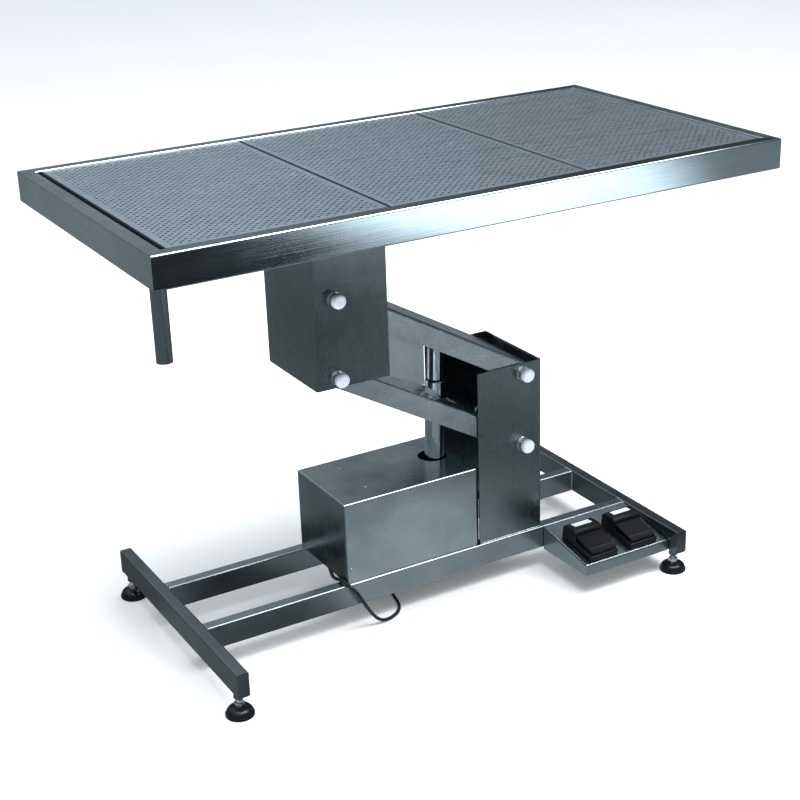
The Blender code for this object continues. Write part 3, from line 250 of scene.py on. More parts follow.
steelFinish = {
    "clean": (0.56, 0.62, 0.65),
    "stained": (0.36, 0.41, 0.42),
    "roughness": 0.30,
    "cloudSize": 6.0,
    "handledSize": 26.0,
    "grainFine": 900.0,
    "grainLong": 7.0,
    "grainDark": (0.72, 0.76, 0.78),
    "bandShare": 0.12,  # how fine the broad bands are, against the grain
    "bandDark": (0.80, 0.84, 0.86),
    "bumpDepth": 0.0002,
    # the next three paint shade below a panel's face: how dark, over what depth it fades in, and how much
    # rougher
    "sunkTone": 0.12,
    "sunkDepth": 0.00004,
    "sunkRough": 0.25,
}


def shaded(colour, tone, tint=(1.0, 1.0, 1.0)):
    return tuple(channel * tone * shift for channel, shift in zip(colour, tint))


def brushedSteel(name, grain="x", tone=1.0, gloss=0.0, clouds=1.0, tint=(1.0, 1.0, 1.0), face=None,
                 values=steelFinish):  # a face height paints shade below it: hole walls and folded edges turn dark
    look = Look(name)
    fine, long = values["grainFine"], values["grainLong"]
    stretch = {"x": (long, fine, fine), "y": (fine, long, fine), "z": (fine, fine, long)}[grain]
    streaks = look.noise(look.coords(scale=stretch), 1.0, 3.0, 0.6)
    bands = look.noise(look.coords(scale=shaded(stretch, values["bandShare"])), 1.0, 2.0, 0.5)
    cloud = look.noise(look.coords(), values["cloudSize"], 3.0, 0.5, 0.25)
    handled = look.noise(look.coords(place=(3.1, 1.7, 0.4)), values["handledSize"], 4.0, 0.6)
    # tone lightens or darkens each part's colour: painted light and shade
    clean, stained = (shaded(values[key], tone, tint) for key in ("clean", "stained"))
    colour = look.mixed(look.remap(cloud, 0.36, 0.66, 0.0, clouds), clean, stained)
    colour = look.mixed(look.remap(bands, 0.3, 0.7, 0.0, 0.30), colour, values["bandDark"], "MULTIPLY")
    colour = look.mixed(look.remap(streaks, 0.3, 0.7, 0.0, 0.18), colour, values["grainDark"], "MULTIPLY")
    rough = (values["roughness"] - gloss) + look.remap(handled, 0.35, 0.7, -0.04, 0.08) * clouds \
        + look.remap(streaks, 0.3, 0.7, -0.03, 0.04)
    if face:
        # painted shade: below the face height the colour turns into a very dark copy of the stained steel
        height = look.node("ShaderNodeSeparateXYZ", {}, {0: look.coords()}, 2)
        paintedShade = look.remap(height, face - values["sunkDepth"], face, 1.0, 0.0)
        colour = look.mixed(paintedShade, colour, shaded(values["stained"], values["sunkTone"]))
        rough = rough + paintedShade * values["sunkRough"]
    bump = look.bump(streaks, 0.10, values["bumpDepth"])
    return look.surface(colour=colour, roughness=rough, metallic=1.0, normal=bump)


polishedFinish = {
    "clean": (0.80, 0.83, 0.85),
    "worn": (0.62, 0.67, 0.70),
    "wearSize": 60.0,
    "turning": (25, 25, 1400),  # stretch of the fine rings left by the lathe
    "bumpDepth": 0.0003,
}


def polishedSteel(name, tone=1.0, roughness=0.12, values=polishedFinish):
    look = Look(name)
    wear = look.noise(look.coords(), values["wearSize"], 3.0, 0.5)
    rings = look.noise(look.coords(scale=values["turning"]), 1.0, 2.0, 0.5)
    clean, worn = (shaded(values[key], tone) for key in ("clean", "worn"))
    colour = look.mixed(look.remap(wear, 0.35, 0.7, 0.0, 1.0), clean, worn)
    rough = roughness + look.remap(wear, 0.3, 0.7, -0.03, 0.06)
    bump = look.bump(rings, 0.05, values["bumpDepth"])
    return look.surface(colour=colour, roughness=rough, metallic=1.0, normal=bump)


plasticFinish = {
    "dustSize": 24.0,
    "dustTone": 1.5,
    "dustAdds": 0.012,
    "bumpDepth": 0.0003,
}


def mouldedPlastic(name, colour, roughness, grainSize=1600.0, grain=0.12, dust=0.25, shine=0.5,
                   values=plasticFinish):
    look = Look(name)
    pores = look.noise(look.coords(), grainSize, 2.0, 0.5)
    dusty = look.noise(look.coords(), values["dustSize"], 4.0, 0.6)
    paler = tuple(min(1.0, channel * values["dustTone"] + values["dustAdds"]) for channel in colour)
    shade = look.mixed(look.remap(dusty, 0.4, 0.75, 0.0, dust), colour, paler)
    rough = roughness + look.remap(dusty, 0.3, 0.7, -0.05, 0.08)
    look.shader.inputs["Specular IOR Level"].default_value = shine
    bump = look.bump(pores, grain, values["bumpDepth"])
    return look.surface(colour=shade, roughness=rough, metallic=0.0, normal=bump)


brushedSteels = {  # grain direction, tone, gloss, clouds and tint, and for the panels the face height; the tones are painted light and shade: one steel made lighter or darker part by part for how light falls on each
    "rimSteel": ("x", 1.0, 0.20, 0.15, (0.97, 1.0, 1.04)),
    "rimEndSteel": ("y", 0.80, 0.04, 0.45, (0.96, 1.0, 0.98)),
    "panelSteel": ("x", 1.42, 0.02, 0.12, (0.95, 1.0, 1.06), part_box("panel_left")[1][2]),
    # the drain pan is painted very dark as shade under the panels, so holes and gaps above it read black
    "panSteel": ("x", 0.16, -0.16, 0.4),
    "tubeSteel": ("x", 0.70, 0.04, 0.7),
    "crossSteel": ("y", 0.38, 0.04, 0.7),
    "coverSteel": ("x", 0.92, 0.08, 1.0, (0.97, 1.0, 0.99)),
    "boxSteel": ("z", 0.50, 0.06, 0.6, (0.96, 1.0, 0.99)),
    "columnSteel": ("z", 0.54, 0.02, 0.5, (0.97, 1.0, 0.98)),
    "armSteel": ("x", 1.46, 0.04, 0.8),
    "guardSteel": ("z", 1.5, 0.0, 0.5),
    "drainSteel": ("z", 0.52, 0.08, 0.6),
    "dullSteel": ("x", 0.4, -0.12),
}
polishedSteels = {  # tone and roughness
    "brightSteel": (1.0, 0.10),
    "boltSteel": (0.95, 0.16),
    "weldSteel": (0.8, 0.28),
}
plastics = {  # colour, roughness, grain size and depth, dust, shine
    "blackPlastic": ((0.005, 0.006, 0.007), 0.44, 1600.0, 0.12, 0.1, 0.22),
    "treadlePlastic": ((0.004, 0.005, 0.007), 0.46, 900.0, 0.2, 0.08, 0.18),
    "whitePlastic": ((0.66, 0.72, 0.79), 0.28, 1200.0, 0.03, 0.1),
    "labelPlastic": ((0.80, 0.82, 0.83), 0.4, 1200.0, 0.03, 0.4),
    "cordSheath": ((0.010, 0.011, 0.013), 0.38, 700.0, 0.08),
    "footPlastic": ((0.005, 0.006, 0.008), 0.24, 900.0, 0.05, 0.1, 0.3),
}
finishes = {}
for make, table in (brushedSteel, brushedSteels), (polishedSteel, polishedSteels), (mouldedPlastic, plastics):
    for name, settings in table.items():
        finishes[name] = make(name, *settings)

nodeFinish = {  # every other node gets boltSteel
    "rimSteel": ["rim_front", "rim_back"],
    "rimEndSteel": ["rim_left", "rim_right"],
    "panelSteel": ["panel_left", "panel_middle", "panel_right"],
    "panSteel": ["drain_pan"],
    "tubeSteel": ["rail_front", "rail_back", "pedal_platform"],
    "crossSteel": ["cross_tube_left", "cross_tube_right"],
    "coverSteel": ["motor_cover"],
    "boxSteel": ["top_box"],
    "columnSteel": ["column"],
    "armSteel": ["upper_arm", "lower_arm"],
    "guardSteel": ["arm_guard_plate"],
    "drainSteel": ["drain_pipe"],
    "dullSteel": ["top_bearers", "rod_bracket", "actuator_clevis", "gearbox", "bed_plate"],
    "brightSteel": ["actuator_rod", "actuator_tube"],
    "blackPlastic": ["motor", "control_box", "pedal_base_left", "pedal_base_right"],
    "treadlePlastic": ["treadle_left", "treadle_right"],
    "cordSheath": ["cord_lead", "cord_coil", "plug", "strain_relief"],
    "footPlastic": ["foot_front_left", "foot_front_right", "foot_back_left", "foot_back_right"],
    "whitePlastic": [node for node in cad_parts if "_cap_" in node],
}
finishOf = {node: finish for finish, nodes in nodeFinish.items() for node in nodes}
for node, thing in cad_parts.items():
    for slot in thing.material_slots:
        slot.material = finishes[finishOf.get(node, "boltSteel")]
print("finishes on every node")


def middle(node):
    low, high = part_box(node)
    return (low + high) / 2


def plainMesh(name, bm):
    bmesh.ops.remove_doubles(bm, verts=bm.verts, dist=1e-6)
    bmesh.ops.recalc_face_normals(bm, faces=bm.faces)
    mesh = bpy.data.meshes.new(name)
    bm.to_mesh(mesh)
    bm.free()
    return mesh


def newPiece(name, bm, body, finish, sharpAngle=35, split=None):  # split picks a second finish by face
    mesh = plainMesh(name, bm)
    mesh.materials.append(finish)
    if split:
        mesh.materials.append(split[0])
        for face in mesh.polygons:
            face.material_index = int(split[1](face.center))
    mesh.shade_smooth()
    mesh.set_sharp_from_angle(angle=math.radians(sharpAngle))
    made = bpy.data.objects.new(name, mesh)
    bpy.context.scene.collection.objects.link(made)
    if body:
        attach(made, body)
    return made


def added(bm, own):
    mesh = bpy.data.meshes.new("spare")
    own.to_mesh(mesh)
    own.free()
    bm.from_mesh(mesh)
    bpy.data.meshes.remove(mesh)
    return bm


def spun(profile, start=(0, 0, 0), direction=(0, 0, 1), steps=48, bm=None):  # profile in radius and height
    own = bmesh.new()
    verts = [own.verts.new((radius, 0, height)) for radius, height in profile]
    edges = [own.edges.new(pair) for pair in zip(verts, verts[1:] + verts[:1])]
    bmesh.ops.spin(own, geom=verts + edges, cent=(0, 0, 0), axis=(0, 0, 1), angle=2 * math.pi, steps=steps,
                   use_merge=True)
    bmesh.ops.remove_doubles(own, verts=own.verts, dist=1e-6)
    bmesh.ops.delete(own, geom=[edge for edge in own.edges if not edge.link_faces], context="EDGES")
    bmesh.ops.recalc_face_normals(own, faces=own.faces)
    turn = Vector(direction).to_track_quat("Z", "X").to_matrix().to_4x4()
    bmesh.ops.transform(own, matrix=Matrix.Translation(start) @ turn, verts=own.verts)
    return own if bm is None else added(bm, own)


def stacked(rings, ends=True):  # a shape through rings of points, its ends closed or joined to each other
    bm = bmesh.new()
    rows = [[bm.verts.new(point) for point in ring] for ring in rings]
    if ends:
        bm.faces.new(rows[0])
        bm.faces.new(rows[-1])
    for one, other in zip(rows, rows[1:] if ends else rows[1:] + rows[:1]):
        for a, b, c, d in zip(one, other, other[1:] + other[:1], one[1:] + one[:1]):
            bm.faces.new((a, b, c, d))
    bmesh.ops.recalc_face_normals(bm, faces=bm.faces)
    return bm


def turned(profileAt, steps, ends=True):  # like spun, but the profile changes with the angle
    columns = []
    for index in range(steps):
        angle = 2 * math.pi * index / steps
        out = Vector((math.cos(angle), math.sin(angle)))
        columns.append([(*out * radius, z) for radius, z in profileAt(angle)])
    return stacked(list(zip(*columns)), ends)


def hexagonSide(angle, flats):  # from the middle to the side of a hexagon, at an angle
    inSector = (angle + math.pi / 6) % (math.pi / 3) - math.pi / 6
    return flats / 2 / math.cos(inSector)


def chamferedNut(flats, height, bore, place):  # the corners are turned away at both ends
    flat = flats / 2 * 0.98

    def profileAt(angle):
        side = hexagonSide(angle, flats)
        cut = (side - flat) * math.tan(math.radians(30))
        return [(bore, 0.0), (flat, 0.0), (side, cut), (side, height - cut), (flat, height), (bore, height)]

    bm = turned(profileAt, 48, ends=False)
    bmesh.ops.translate(bm, vec=place, verts=bm.verts)
    return bm


panels = {
    "pitch": 0.01555,
    "holeRadius": 0.0028,
    "sides": 8,
    "softEdge": 0.0001,
    "plainBorder": 0.0130,
    "sheet": 0.0015,
    "weld": 0.00002,
}


def perforationRule(values):
    rule = Rule("perforatedSheet", columns="Int", rows="Int", pitch="Float", holeRadius="Float",
                softEdge="Float", sheet="Float", top="Float", middle="Vector")
    entry = rule.entry
    columns, rows, pitch, top, sheet = (entry[key] for key in ("columns", "rows", "pitch", "top", "sheet"))

    def lattice(fewer):
        return rule.node("GeometryNodeMeshGrid", {}, {
            "Size X": (columns - (1 + fewer)) * pitch, "Size Y": (rows - (1 + fewer)) * pitch,
            "Vertices X": columns - fewer, "Vertices Y": rows - fewer})

    centred = rule.node("GeometryNodeSetPosition", {}, {"Geometry": rule.join(lattice(0), lattice(1)),
                                                        "Offset": entry["middle"]})

    def sheetFace(radius, height, chosen):
        ring = rule.node("GeometryNodeCurvePrimitiveCircle", {}, {
            "Resolution": values["sides"], "Radius": radius})
        rings = rule.node("GeometryNodeRealizeInstances", {}, {0: rule.onPoints(centred, ring)})
        alone = rule.node("GeometryNodeInputMeshEdgeNeighbors") < 1.5
        edge = rule.node("GeometryNodeMeshToCurve", {}, {
            "Mesh": entry["Geometry"], "Selection": alone * chosen})
        filled = rule.node("GeometryNodeFillCurve", {}, {"Curve": rule.join(edge, rings)})
        return rule.shifted(filled, z=height)

    def wall(low, high, depth, drop):
        cone = rule.node("GeometryNodeMeshCone", {"fill_type": "NONE"}, {
            "Vertices": values["sides"], "Radius Top": high, "Radius Bottom": low, "Depth": depth})
        inward = rule.node("GeometryNodeFlipFaces", {}, {0: cone})
        return rule.shifted(inward, z=drop)

    radius, soft = entry["holeRadius"], entry["softEdge"]
    height = rule.node("ShaderNodeSeparateXYZ", {}, {0: rule.node("GeometryNodeInputPosition")}, 2)
    isUpper = height > (top - sheet * 0.5)
    upper = sheetFace(radius + soft, top, isUpper)
    lower = rule.node("GeometryNodeFlipFaces", {}, {0: sheetFace(radius, top - sheet, 1 - isUpper)})
    bevel = wall(radius, radius + soft, soft, 0 - soft)
    collar = rule.join(bevel, wall(radius, radius, sheet - soft, 0 - sheet))
    collars = rule.node("GeometryNodeRealizeInstances", {}, {0: rule.onPoints(centred, collar)})
    whole = rule.join(entry["Geometry"], upper, lower, collars)
    rule.close(rule.node("GeometryNodeMergeByDistance", {}, {"Geometry": whole, "Distance": values["weld"]}))
    return rule


def openedPanel(node, top, sheet):  # the folded panel without its flat faces, which the rule fills again
    bm = bmesh.new()
    bm.from_mesh(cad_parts[node].data)
    bmesh.ops.remove_doubles(bm, verts=bm.verts, dist=1e-5)
    flat = [face for face in bm.faces
            if any(all(abs(vert.co.z - level) < 2e-5 for vert in face.verts) for level in (top, top - sheet))]
    bmesh.ops.delete(bm, geom=flat, context="FACES")
    mesh = bpy.data.meshes.new(node)
    bm.to_mesh(mesh)
    bm.free()
    if mesh.has_custom_normals:
        mesh.attributes.remove(mesh.attributes["custom_normal"])
    return mesh


def perforatedPanels(values):
    rule = perforationRule(values)
    for side in ("left", "middle", "right"):
        node = "panel_" + side
        low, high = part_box(node)
        columns, rows = (int((high[axis] - low[axis] - 2 * values["plainBorder"]) / values["pitch"]) + 1
                         for axis in (0, 1))
        centre = (middle(node).x, middle(node).y, high[2])
        made = rule.make("perforated" + side.capitalize(), openedPanel(node, high[2], values["sheet"]), node,
                         finishes["panelSteel"], columns=columns, rows=rows, pitch=values["pitch"],
                         holeRadius=values["holeRadius"], softEdge=values["softEdge"], sheet=values["sheet"],
                         top=high[2], middle=centre)
        faces = made.data.polygons
        faces.foreach_set("use_smooth", [abs(face.normal.z) < 0.99 for face in faces])  # the flats stay flat
        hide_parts(node)
        print(node, "has a lattice of", columns, "by", rows, "and", len(faces), "faces")


perforatedPanels(panels)
print("perforated panels done")

boltEnd = {
    "shaft": 0.008,
    "washer": (0.0150, 0.0003, 0.0020),  # radius, lower face above the plate, thickness
    "nut": (0.024, 0.012),  # across the flats, height
    "nutPlay": 0.0005,
    "stub": 0.0225,
    "plainTip": 0.0022,
    "tipSlope": 0.0012,
    "threadPitch": 0.0015,
    "threadDepth": 0.0007,
    "soft": 0.0004,
}
capShape = {
    "radius": 0.0146,
    "start": 0.0151,
    "length": 0.0119,
    "bore": 0.0089,
    "boreDepth": 0.0088,
    "skirt": 0.42,  # share of the length below the dome
    "grips": 12,
    "gripDepth": 0.035,
    "soft": 0.0008,
}
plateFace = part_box("column")[1][1]  # the uprights' outer faces, both sides of the middle
pins = {}
for upright in ("column", "box"):
    pins[upright] = [middle(f"{upright}_{level}_bolt") for level in ("upper", "lower")]


def pairsRule():  # four turned copies of one end, outside the two side plates of an upright
    rule = Rule("boltEnds", firstPin="Vector", secondPin="Vector", reach="Float")
    entry = rule.entry
    pinLine = rule.node("GeometryNodeMeshLine", {"mode": "END_POINTS"}, {
        "Count": 2, "Start Location": entry["firstPin"], "Offset": entry["secondPin"]})
    ends = []
    for side in (-1, 1):
        turn = (-side * math.pi / 2, 0, 0)
        places = rule.shifted(pinLine, y=entry["reach"] * side)
        ends.append(rule.onPoints(places, entry["Geometry"], Rotation=turn))
    rule.close(rule.join(*ends))
    return rule


def boltEndMesh(values):
    radius, low, thick = values["washer"]
    shaft, soft = values["shaft"], values["soft"]
    flats, height = values["nut"]
    top = low + thick
    bm = spun([(shaft, low), (radius - soft, low), (radius, low + soft), (radius, top - soft),
               (radius - soft, top), (shaft, top)])
    added(bm, chamferedNut(flats, height, shaft - values["nutPlay"], (0, 0, top)))
    z = top + height
    profile = [(0.0, -plateFace), (shaft, -plateFace), (shaft, z)]
    while z < values["stub"] - values["plainTip"]:
        z += values["threadPitch"]
        profile += [(shaft - values["threadDepth"], z - values["threadPitch"] / 2), (shaft, z)]
    profile += [(shaft - values["tipSlope"], values["stub"]), (0.0, values["stub"])]
    return plainMesh("boltEnd", spun(profile, bm=bm))


def capMesh(values):  # moulded acorn cap with shallow grip flats round its skirt
    radius, start, length, soft = (values[key] for key in ("radius", "start", "length", "soft"))
    inner, depth, skirt = values["bore"], values["boreDepth"], values["skirt"]
    profile = [(0.0, start + depth), (inner, start + depth), (inner, start), (radius - soft, start),
               (radius, start + soft), (radius, start + length * skirt)]
    for index in range(1, 6):
        angle = index * math.pi / 12
        profile.append((radius * (0.55 + 0.45 * math.cos(angle)),
                        start + length * (skirt + (1 - skirt) * math.sin(angle))))
    profile += [(radius * 0.45, start + length * 0.995), (0.0, start + length)]
    bm = spun(profile, steps=72)
    for vert in bm.verts:
        onSkirt = start + soft / 4 < vert.co.z < start + length * (skirt + 0.03)
        if onSkirt and vert.co.xy.length > inner + 0.001:
            wave = 0.5 + 0.5 * math.cos(values["grips"] * math.atan2(vert.co.y, vert.co.x))
            vert.co.xy *= 1 - values["gripDepth"] * (1 - wave) ** 2
    return plainMesh("cap", bm)


pairs = pairsRule()
for upright, body in (("column", "base"), ("box", "table_top")):
    where = {"firstPin": pins[upright][0], "secondPin": pins[upright][1], "reach": plateFace}
    bolts = pairs.make(upright + "BoltEnds", boltEndMesh(boltEnd), body, finishes["boltSteel"], **where)
    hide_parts(upright + "_upper_bolt", upright + "_lower_bolt")
    caps = pairs.make(upright + "Caps", capMesh(capShape), body, finishes["whitePlastic"], 40, **where)
    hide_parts(*[f"{upright}_{level}_cap_{face}" for level in ("upper", "lower")
                        for face in ("front", "back")])
print("bolt ends and caps done")

footShape = {
    "pad": 0.0275,
    "padHeight": 0.020,
    "padRim": [  # how far in from the pad's edge, and height
        (0.0015, 0.0), (0.0003, 0.0008), (0.0, 0.0022), (0.0, 0.0050), (0.0006, 0.0058), (0.0016, 0.0060),
        (0.0018, 0.0066)],
    "neck": 0.0100,
    "studRadius": 0.006,
    "threadPitch": 0.0017,
    "threadDepth": 0.0008,
    "nutFlats": 0.018,
    "nutHeight": 0.008,
    "top": 0.0855,
}


def levellingFoot(node, values):
    place = Vector((middle(node).x, middle(node).y, 0))
    pad, height, neck = values["pad"], values["padHeight"], values["neck"]
    profile = [(0.0, 0.0)] + [(pad - inset, z) for inset, z in values["padRim"]]
    shoulder, rise = profile[-1]
    dome = height - 0.0008 - rise
    for index in range(1, 9):
        angle = index * math.pi / 18
        profile.append((neck + (shoulder - neck) * math.cos(angle), rise + dome * math.sin(angle)))
    profile += [(neck + 0.0005, height - 0.0003), (neck - 0.0002, height), (0.0, height)]
    bm = spun(profile, place)
    radius, pitch, top = values["studRadius"], values["threadPitch"], values["top"]
    nutPlace = place + Vector((0, 0, height))
    added(bm, chamferedNut(values["nutFlats"], values["nutHeight"], radius - 0.0004, nutPlace))
    stud = [(0.0, height + 0.001), (radius, height + 0.001)]
    z = height + values["nutHeight"]
    while z < top - 0.003:
        stud += [(radius - 0.0001, z), (radius - values["threadDepth"], z + pitch / 2)]
        z += pitch
    stud += [(radius - 0.0004, z), (radius - 0.0014, top), (0.0, top)]
    spun(stud, place, steps=24, bm=bm)
    made = newPiece(node.replace("_", " ").title().replace(" ", ""), bm, node, finishes["footPlastic"], 40,
                    (finishes["boltSteel"], lambda centre: centre.z > height + 0.00005))
    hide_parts(node)


for node in [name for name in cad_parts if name.startswith("foot_")]:
    levellingFoot(node, footShape)
print("feet done")

pedal = {
    "tilt": math.radians(9.28),
    "corner": (-0.2592, 0.0751),  # Y and Z of the lower front edge
    "width": 0.0696,
    "outline": [  # from the corner, along the slope and square to it
        (0.0, 0.0), (0.1058, 0.0), (0.1058, 0.0235), (0.1020, 0.0295), (0.0760, 0.0358), (0.0665, 0.0352),
        (0.0620, 0.0300), (0.0605, 0.0125), (0.0, 0.0125)],
    "room": [  # the same for the hollow that the treadle moves in
        (0.0035, 0.005), (0.0990, 0.005), (0.0990, 0.0285), (0.0925, 0.0302), (0.0560, 0.0284),
        (0.0560, 0.05), (0.0035, 0.05)],
    "wall": 0.0035,
    "round": 0.003,
}
labelShape = {
    "size": (0.044, 0.016, 0.0006),
    "round": 0.002,
    "from": 0.0885,  # its middle along the pedal's slope
    "proud": 0.00007,
}


def drawnOut(outline, low, high):  # outline in Y and Z, drawn out along X
    return stacked([[(x, y, z) for y, z in outline] for x in (low, high)])


def cutOut(thing, bm):
    cutter = bpy.data.objects.new("cutter", plainMesh("cutter", bm))
    bpy.context.scene.collection.objects.link(cutter)
    cut = thing.modifiers.new("cut", "BOOLEAN")
    cut.solver = "EXACT"
    cut.object = cutter
    ready = thing.evaluated_get(bpy.context.evaluated_depsgraph_get())
    made = bpy.data.meshes.new_from_object(ready)
    thing.modifiers.remove(cut)
    bpy.data.objects.remove(cutter)
    thing.data = made


def pedalPlace(side, values):
    x = middle("pedal_base_" + side).x
    return Matrix.Translation((x, *values["corner"])) @ Matrix.Rotation(values["tilt"], 4, "X")


def footSwitch(side, values):
    half, wall = values["width"] / 2, values["wall"]
    bm = drawnOut(values["outline"], -half, half)
    folds = [edge for edge in bm.edges if edge.calc_face_angle() > 0.3]
    bmesh.ops.bevel(bm, geom=folds, offset=values["round"], segments=4, profile=0.5, affect="EDGES",
                    clamp_overlap=True)
    housing = newPiece("footSwitch" + side.capitalize(), bm, None, finishes["blackPlastic"], 40)
    cutOut(housing, drawnOut(values["room"], wall - half, half - wall))
    housing.data.transform(pedalPlace(side, values))
    housing.data.shade_smooth()
    housing.data.set_sharp_from_angle(angle=math.radians(40))
    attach(housing, "base")
    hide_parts("pedal_base_" + side)


def blankLabel(side, values, pedalValues):
    wide, deep, thick = values["size"]
    radius = values["round"]
    corners = []
    for x, y, start in ((1, 1, 0), (-1, 1, 1), (-1, -1, 2), (1, -1, 3)):
        for step in range(5):
            angle = (start + step / 4) * math.pi / 2
            corners.append((x * (wide / 2 - radius) + radius * math.cos(angle),
                            y * (deep / 2 - radius) + radius * math.sin(angle)))
    bm = stacked([[(x * share, y * share, level) for x, y in corners]
                  for level, share in ((0.0, 1.0), (thick * 0.6, 1.0), (thick, 0.985))])
    low, high = (Vector(pedalValues["outline"][index]) for index in (3, 4))  # the hood's slope
    slope = math.atan2(low.y - high.y, low.x - high.x)
    rise = high.y + (values["from"] - high.x) * math.tan(slope) + values["proud"]
    onHood = Matrix.Translation((0, values["from"], rise)) @ Matrix.Rotation(slope, 4, "X")
    bmesh.ops.transform(bm, matrix=pedalPlace(side, pedalValues) @ onHood, verts=bm.verts)
    plate = newPiece("blankLabel" + side.capitalize(), bm, "base", finishes["labelPlastic"])


for side in ("left", "right"):
    footSwitch(side, pedal)
    blankLabel(side, labelShape, pedal)
print("foot switches done")

weldShape = {
    "bead": 0.0013,
    "seam": 0.0005,
    "step": 0.0012,
    "ripple": 0.00025,
    "sides": 8,
    "offRail": 0.0006,
    "offPlate": 0.0002,
    "sink": 0.0001,
    "railGap": 0.002,  # left free above and below a run up a rail's end
    "acrossHalf": 0.011,  # half of a run over a rail's end
    "acrossSink": 0.0003,
    "columnGaps": (0.0039, 0.0037),
    "boxGaps": (0.0031, 0.0029),
    "boxSink": 0.0005,
    "cornerLine": [  # up the rim's corner and across its top: in from both sides, and down from the top
        (0.0005, 0.0590), (0.0005, 0.0020), (0.0020, 0.0006), (0.0275, 0.0006)],
}


def beadRule(values):  # a thin run of weld along every edge of the mesh it is given
    rule = Rule("weldBead", radius="Float", step="Float", ripple="Float", seed="Int")
    entry = rule.entry
    line = rule.node("GeometryNodeMeshToCurve", {}, {"Mesh": entry["Geometry"]})
    even = rule.node("GeometryNodeResampleCurve", {"mode": "LENGTH"}, {
        "Curve": line, "Length": entry["step"]})
    ripple = entry["ripple"]
    low = rule.node("ShaderNodeCombineXYZ", {}, {index: 0 - ripple for index in range(3)})
    high = rule.node("ShaderNodeCombineXYZ", {}, {index: ripple for index in range(3)})
    shake = rule.node("FunctionNodeRandomValue", {"data_type": "FLOAT_VECTOR"}, {
        0: low, 1: high, "Seed": entry["seed"]})
    rough = rule.node("GeometryNodeSetPosition", {}, {"Geometry": even, "Offset": shake})
    ring = rule.node("GeometryNodeCurvePrimitiveCircle", {}, {
        "Resolution": values["sides"], "Radius": entry["radius"]})
    rule.close(rule.node("GeometryNodeCurveToMesh", {}, {
        "Curve": rough, "Profile Curve": ring, "Fill Caps": True}))
    return rule


def lines(name, runs):
    points, edges = [], []
    for run in runs:
        edges += [(len(points) + index, len(points) + index + 1) for index in range(len(run) - 1)]
        points += run
    mesh = bpy.data.meshes.new(name)
    mesh.from_pydata(points, edges, [])
    return mesh


def plateRuns(node, z, gaps, values):  # along both side plates of an upright
    low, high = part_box(node)
    y = high.y + values["offPlate"]
    return [[(low.x + gaps[0], side * y, z), (high.x - gaps[1], side * y, z)] for side in (-1, 1)]


def frameRuns(values):  # up the rails' ends, over them, and along the column's foot
    low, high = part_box("rail_front")
    outward, sink = values["offRail"], values["sink"]
    ends = (low.x + sink, high.x - sink)
    sides = (low.y - outward, high.y + outward, -high.y - outward, -low.y + outward)
    bottom, top = low.z + values["railGap"], high.z - values["railGap"]
    runs = [[(x, y, bottom), (x, y, top)] for x in ends for y in sides]
    railY, half, z = (low.y + high.y) / 2, values["acrossHalf"], high.z - values["acrossSink"]
    runs += [[(x, y - half, z), (x, y + half, z)]
             for x in (low.x - sink, high.x + sink) for y in (railY, -railY)]
    return runs + plateRuns("column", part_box("column")[0].z + sink, values["columnGaps"], values)


def uprightRuns(values):
    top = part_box("top_box")[1].z
    return plateRuns("top_box", top - values["boxSink"], values["boxGaps"], values)


def cornerRuns(values):
    wide, deep, top = cadBox[1]
    return [[(x * (wide - inset), y * (deep - inset), top - down) for inset, down in values["cornerLine"]]
            for x in (-1, 1) for y in (-1, 1)]


def welds(values):
    rule = beadRule(values)
    bead, seam, ripple = values["bead"], values["seam"], values["ripple"]
    for name, runs, radius, shake, body, node in (
            ("frameWelds", frameRuns(values), bead, ripple, "base", "rail_front"),
            ("uprightWelds", uprightRuns(values), bead, ripple, "table_top", "top_box"),
            ("cornerSeams", cornerRuns(values), seam, 0.0, "table_top", "rim_front")):
        made = rule.make(name, lines(name, runs), body, finishes["weldSteel"], 60, radius=radius,
                         step=values["step"], ripple=shake, seed=5)


welds(weldShape)
print("welds done")

screwShape = {
    "radius": 0.0036,
    "height": 0.0016,
    "socket": 0.0024,
    "socketDepth": 0.0010,
    "head": [(1.0, 0.0), (1.0, 0.35), (0.86, 0.72), (0.6, 0.96)],  # shares of the radius and height
    "shank": (0.0014, 0.004),
    "tip": 0.0006,
    "lift": 0.0001,
}


def screwMesh(values):  # button head with a hexagon socket
    height, tip = values["height"], values["tip"]
    shank, depth = values["shank"]
    floor = height - values["socketDepth"]
    head = [(values["radius"] * out, height * up) for out, up in values["head"]]

    def profileAt(angle):
        side = hexagonSide(angle, values["socket"])
        socket = [(side * 1.08, height), (side, height - 0.0001), (side, floor), (tip, floor - 0.0002)]
        return [(tip, -depth), (shank, -depth), (shank, 0.0)] + head + socket

    return plainMesh("screw", turned(profileAt, 24))


def screwRule():
    rule = Rule("screwHeads", firstTop="Vector", secondTop="Vector", side="Vector")
    entry = rule.entry
    tops = rule.node("GeometryNodeMeshLine", {"mode": "END_POINTS"}, {
        "Count": 2, "Start Location": entry["firstTop"], "Offset": entry["secondTop"]})
    side = rule.node("GeometryNodeMeshLine", {"mode": "END_POINTS"}, {
        "Count": 1, "Start Location": entry["side"], "Offset": entry["side"]})
    upright = rule.onPoints(tops, entry["Geometry"])
    sideways = rule.onPoints(side, entry["Geometry"], Rotation=(math.pi / 2, 0, 0))
    rule.close(rule.join(upright, sideways))
    return rule


def coverScrews(values):
    low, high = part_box("motor_cover")
    front, back, side = (middle("cover_screw_" + name) for name in ("front", "back", "side"))
    front.z = back.z = high.z + values["lift"]
    side.y = low.y - values["lift"]
    made = screwRule().make("coverScrews", screwMesh(values), "base", finishes["boltSteel"], firstTop=front,
                            secondTop=back, side=side)
    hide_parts("cover_screw_front", "cover_screw_back", "cover_screw_side")


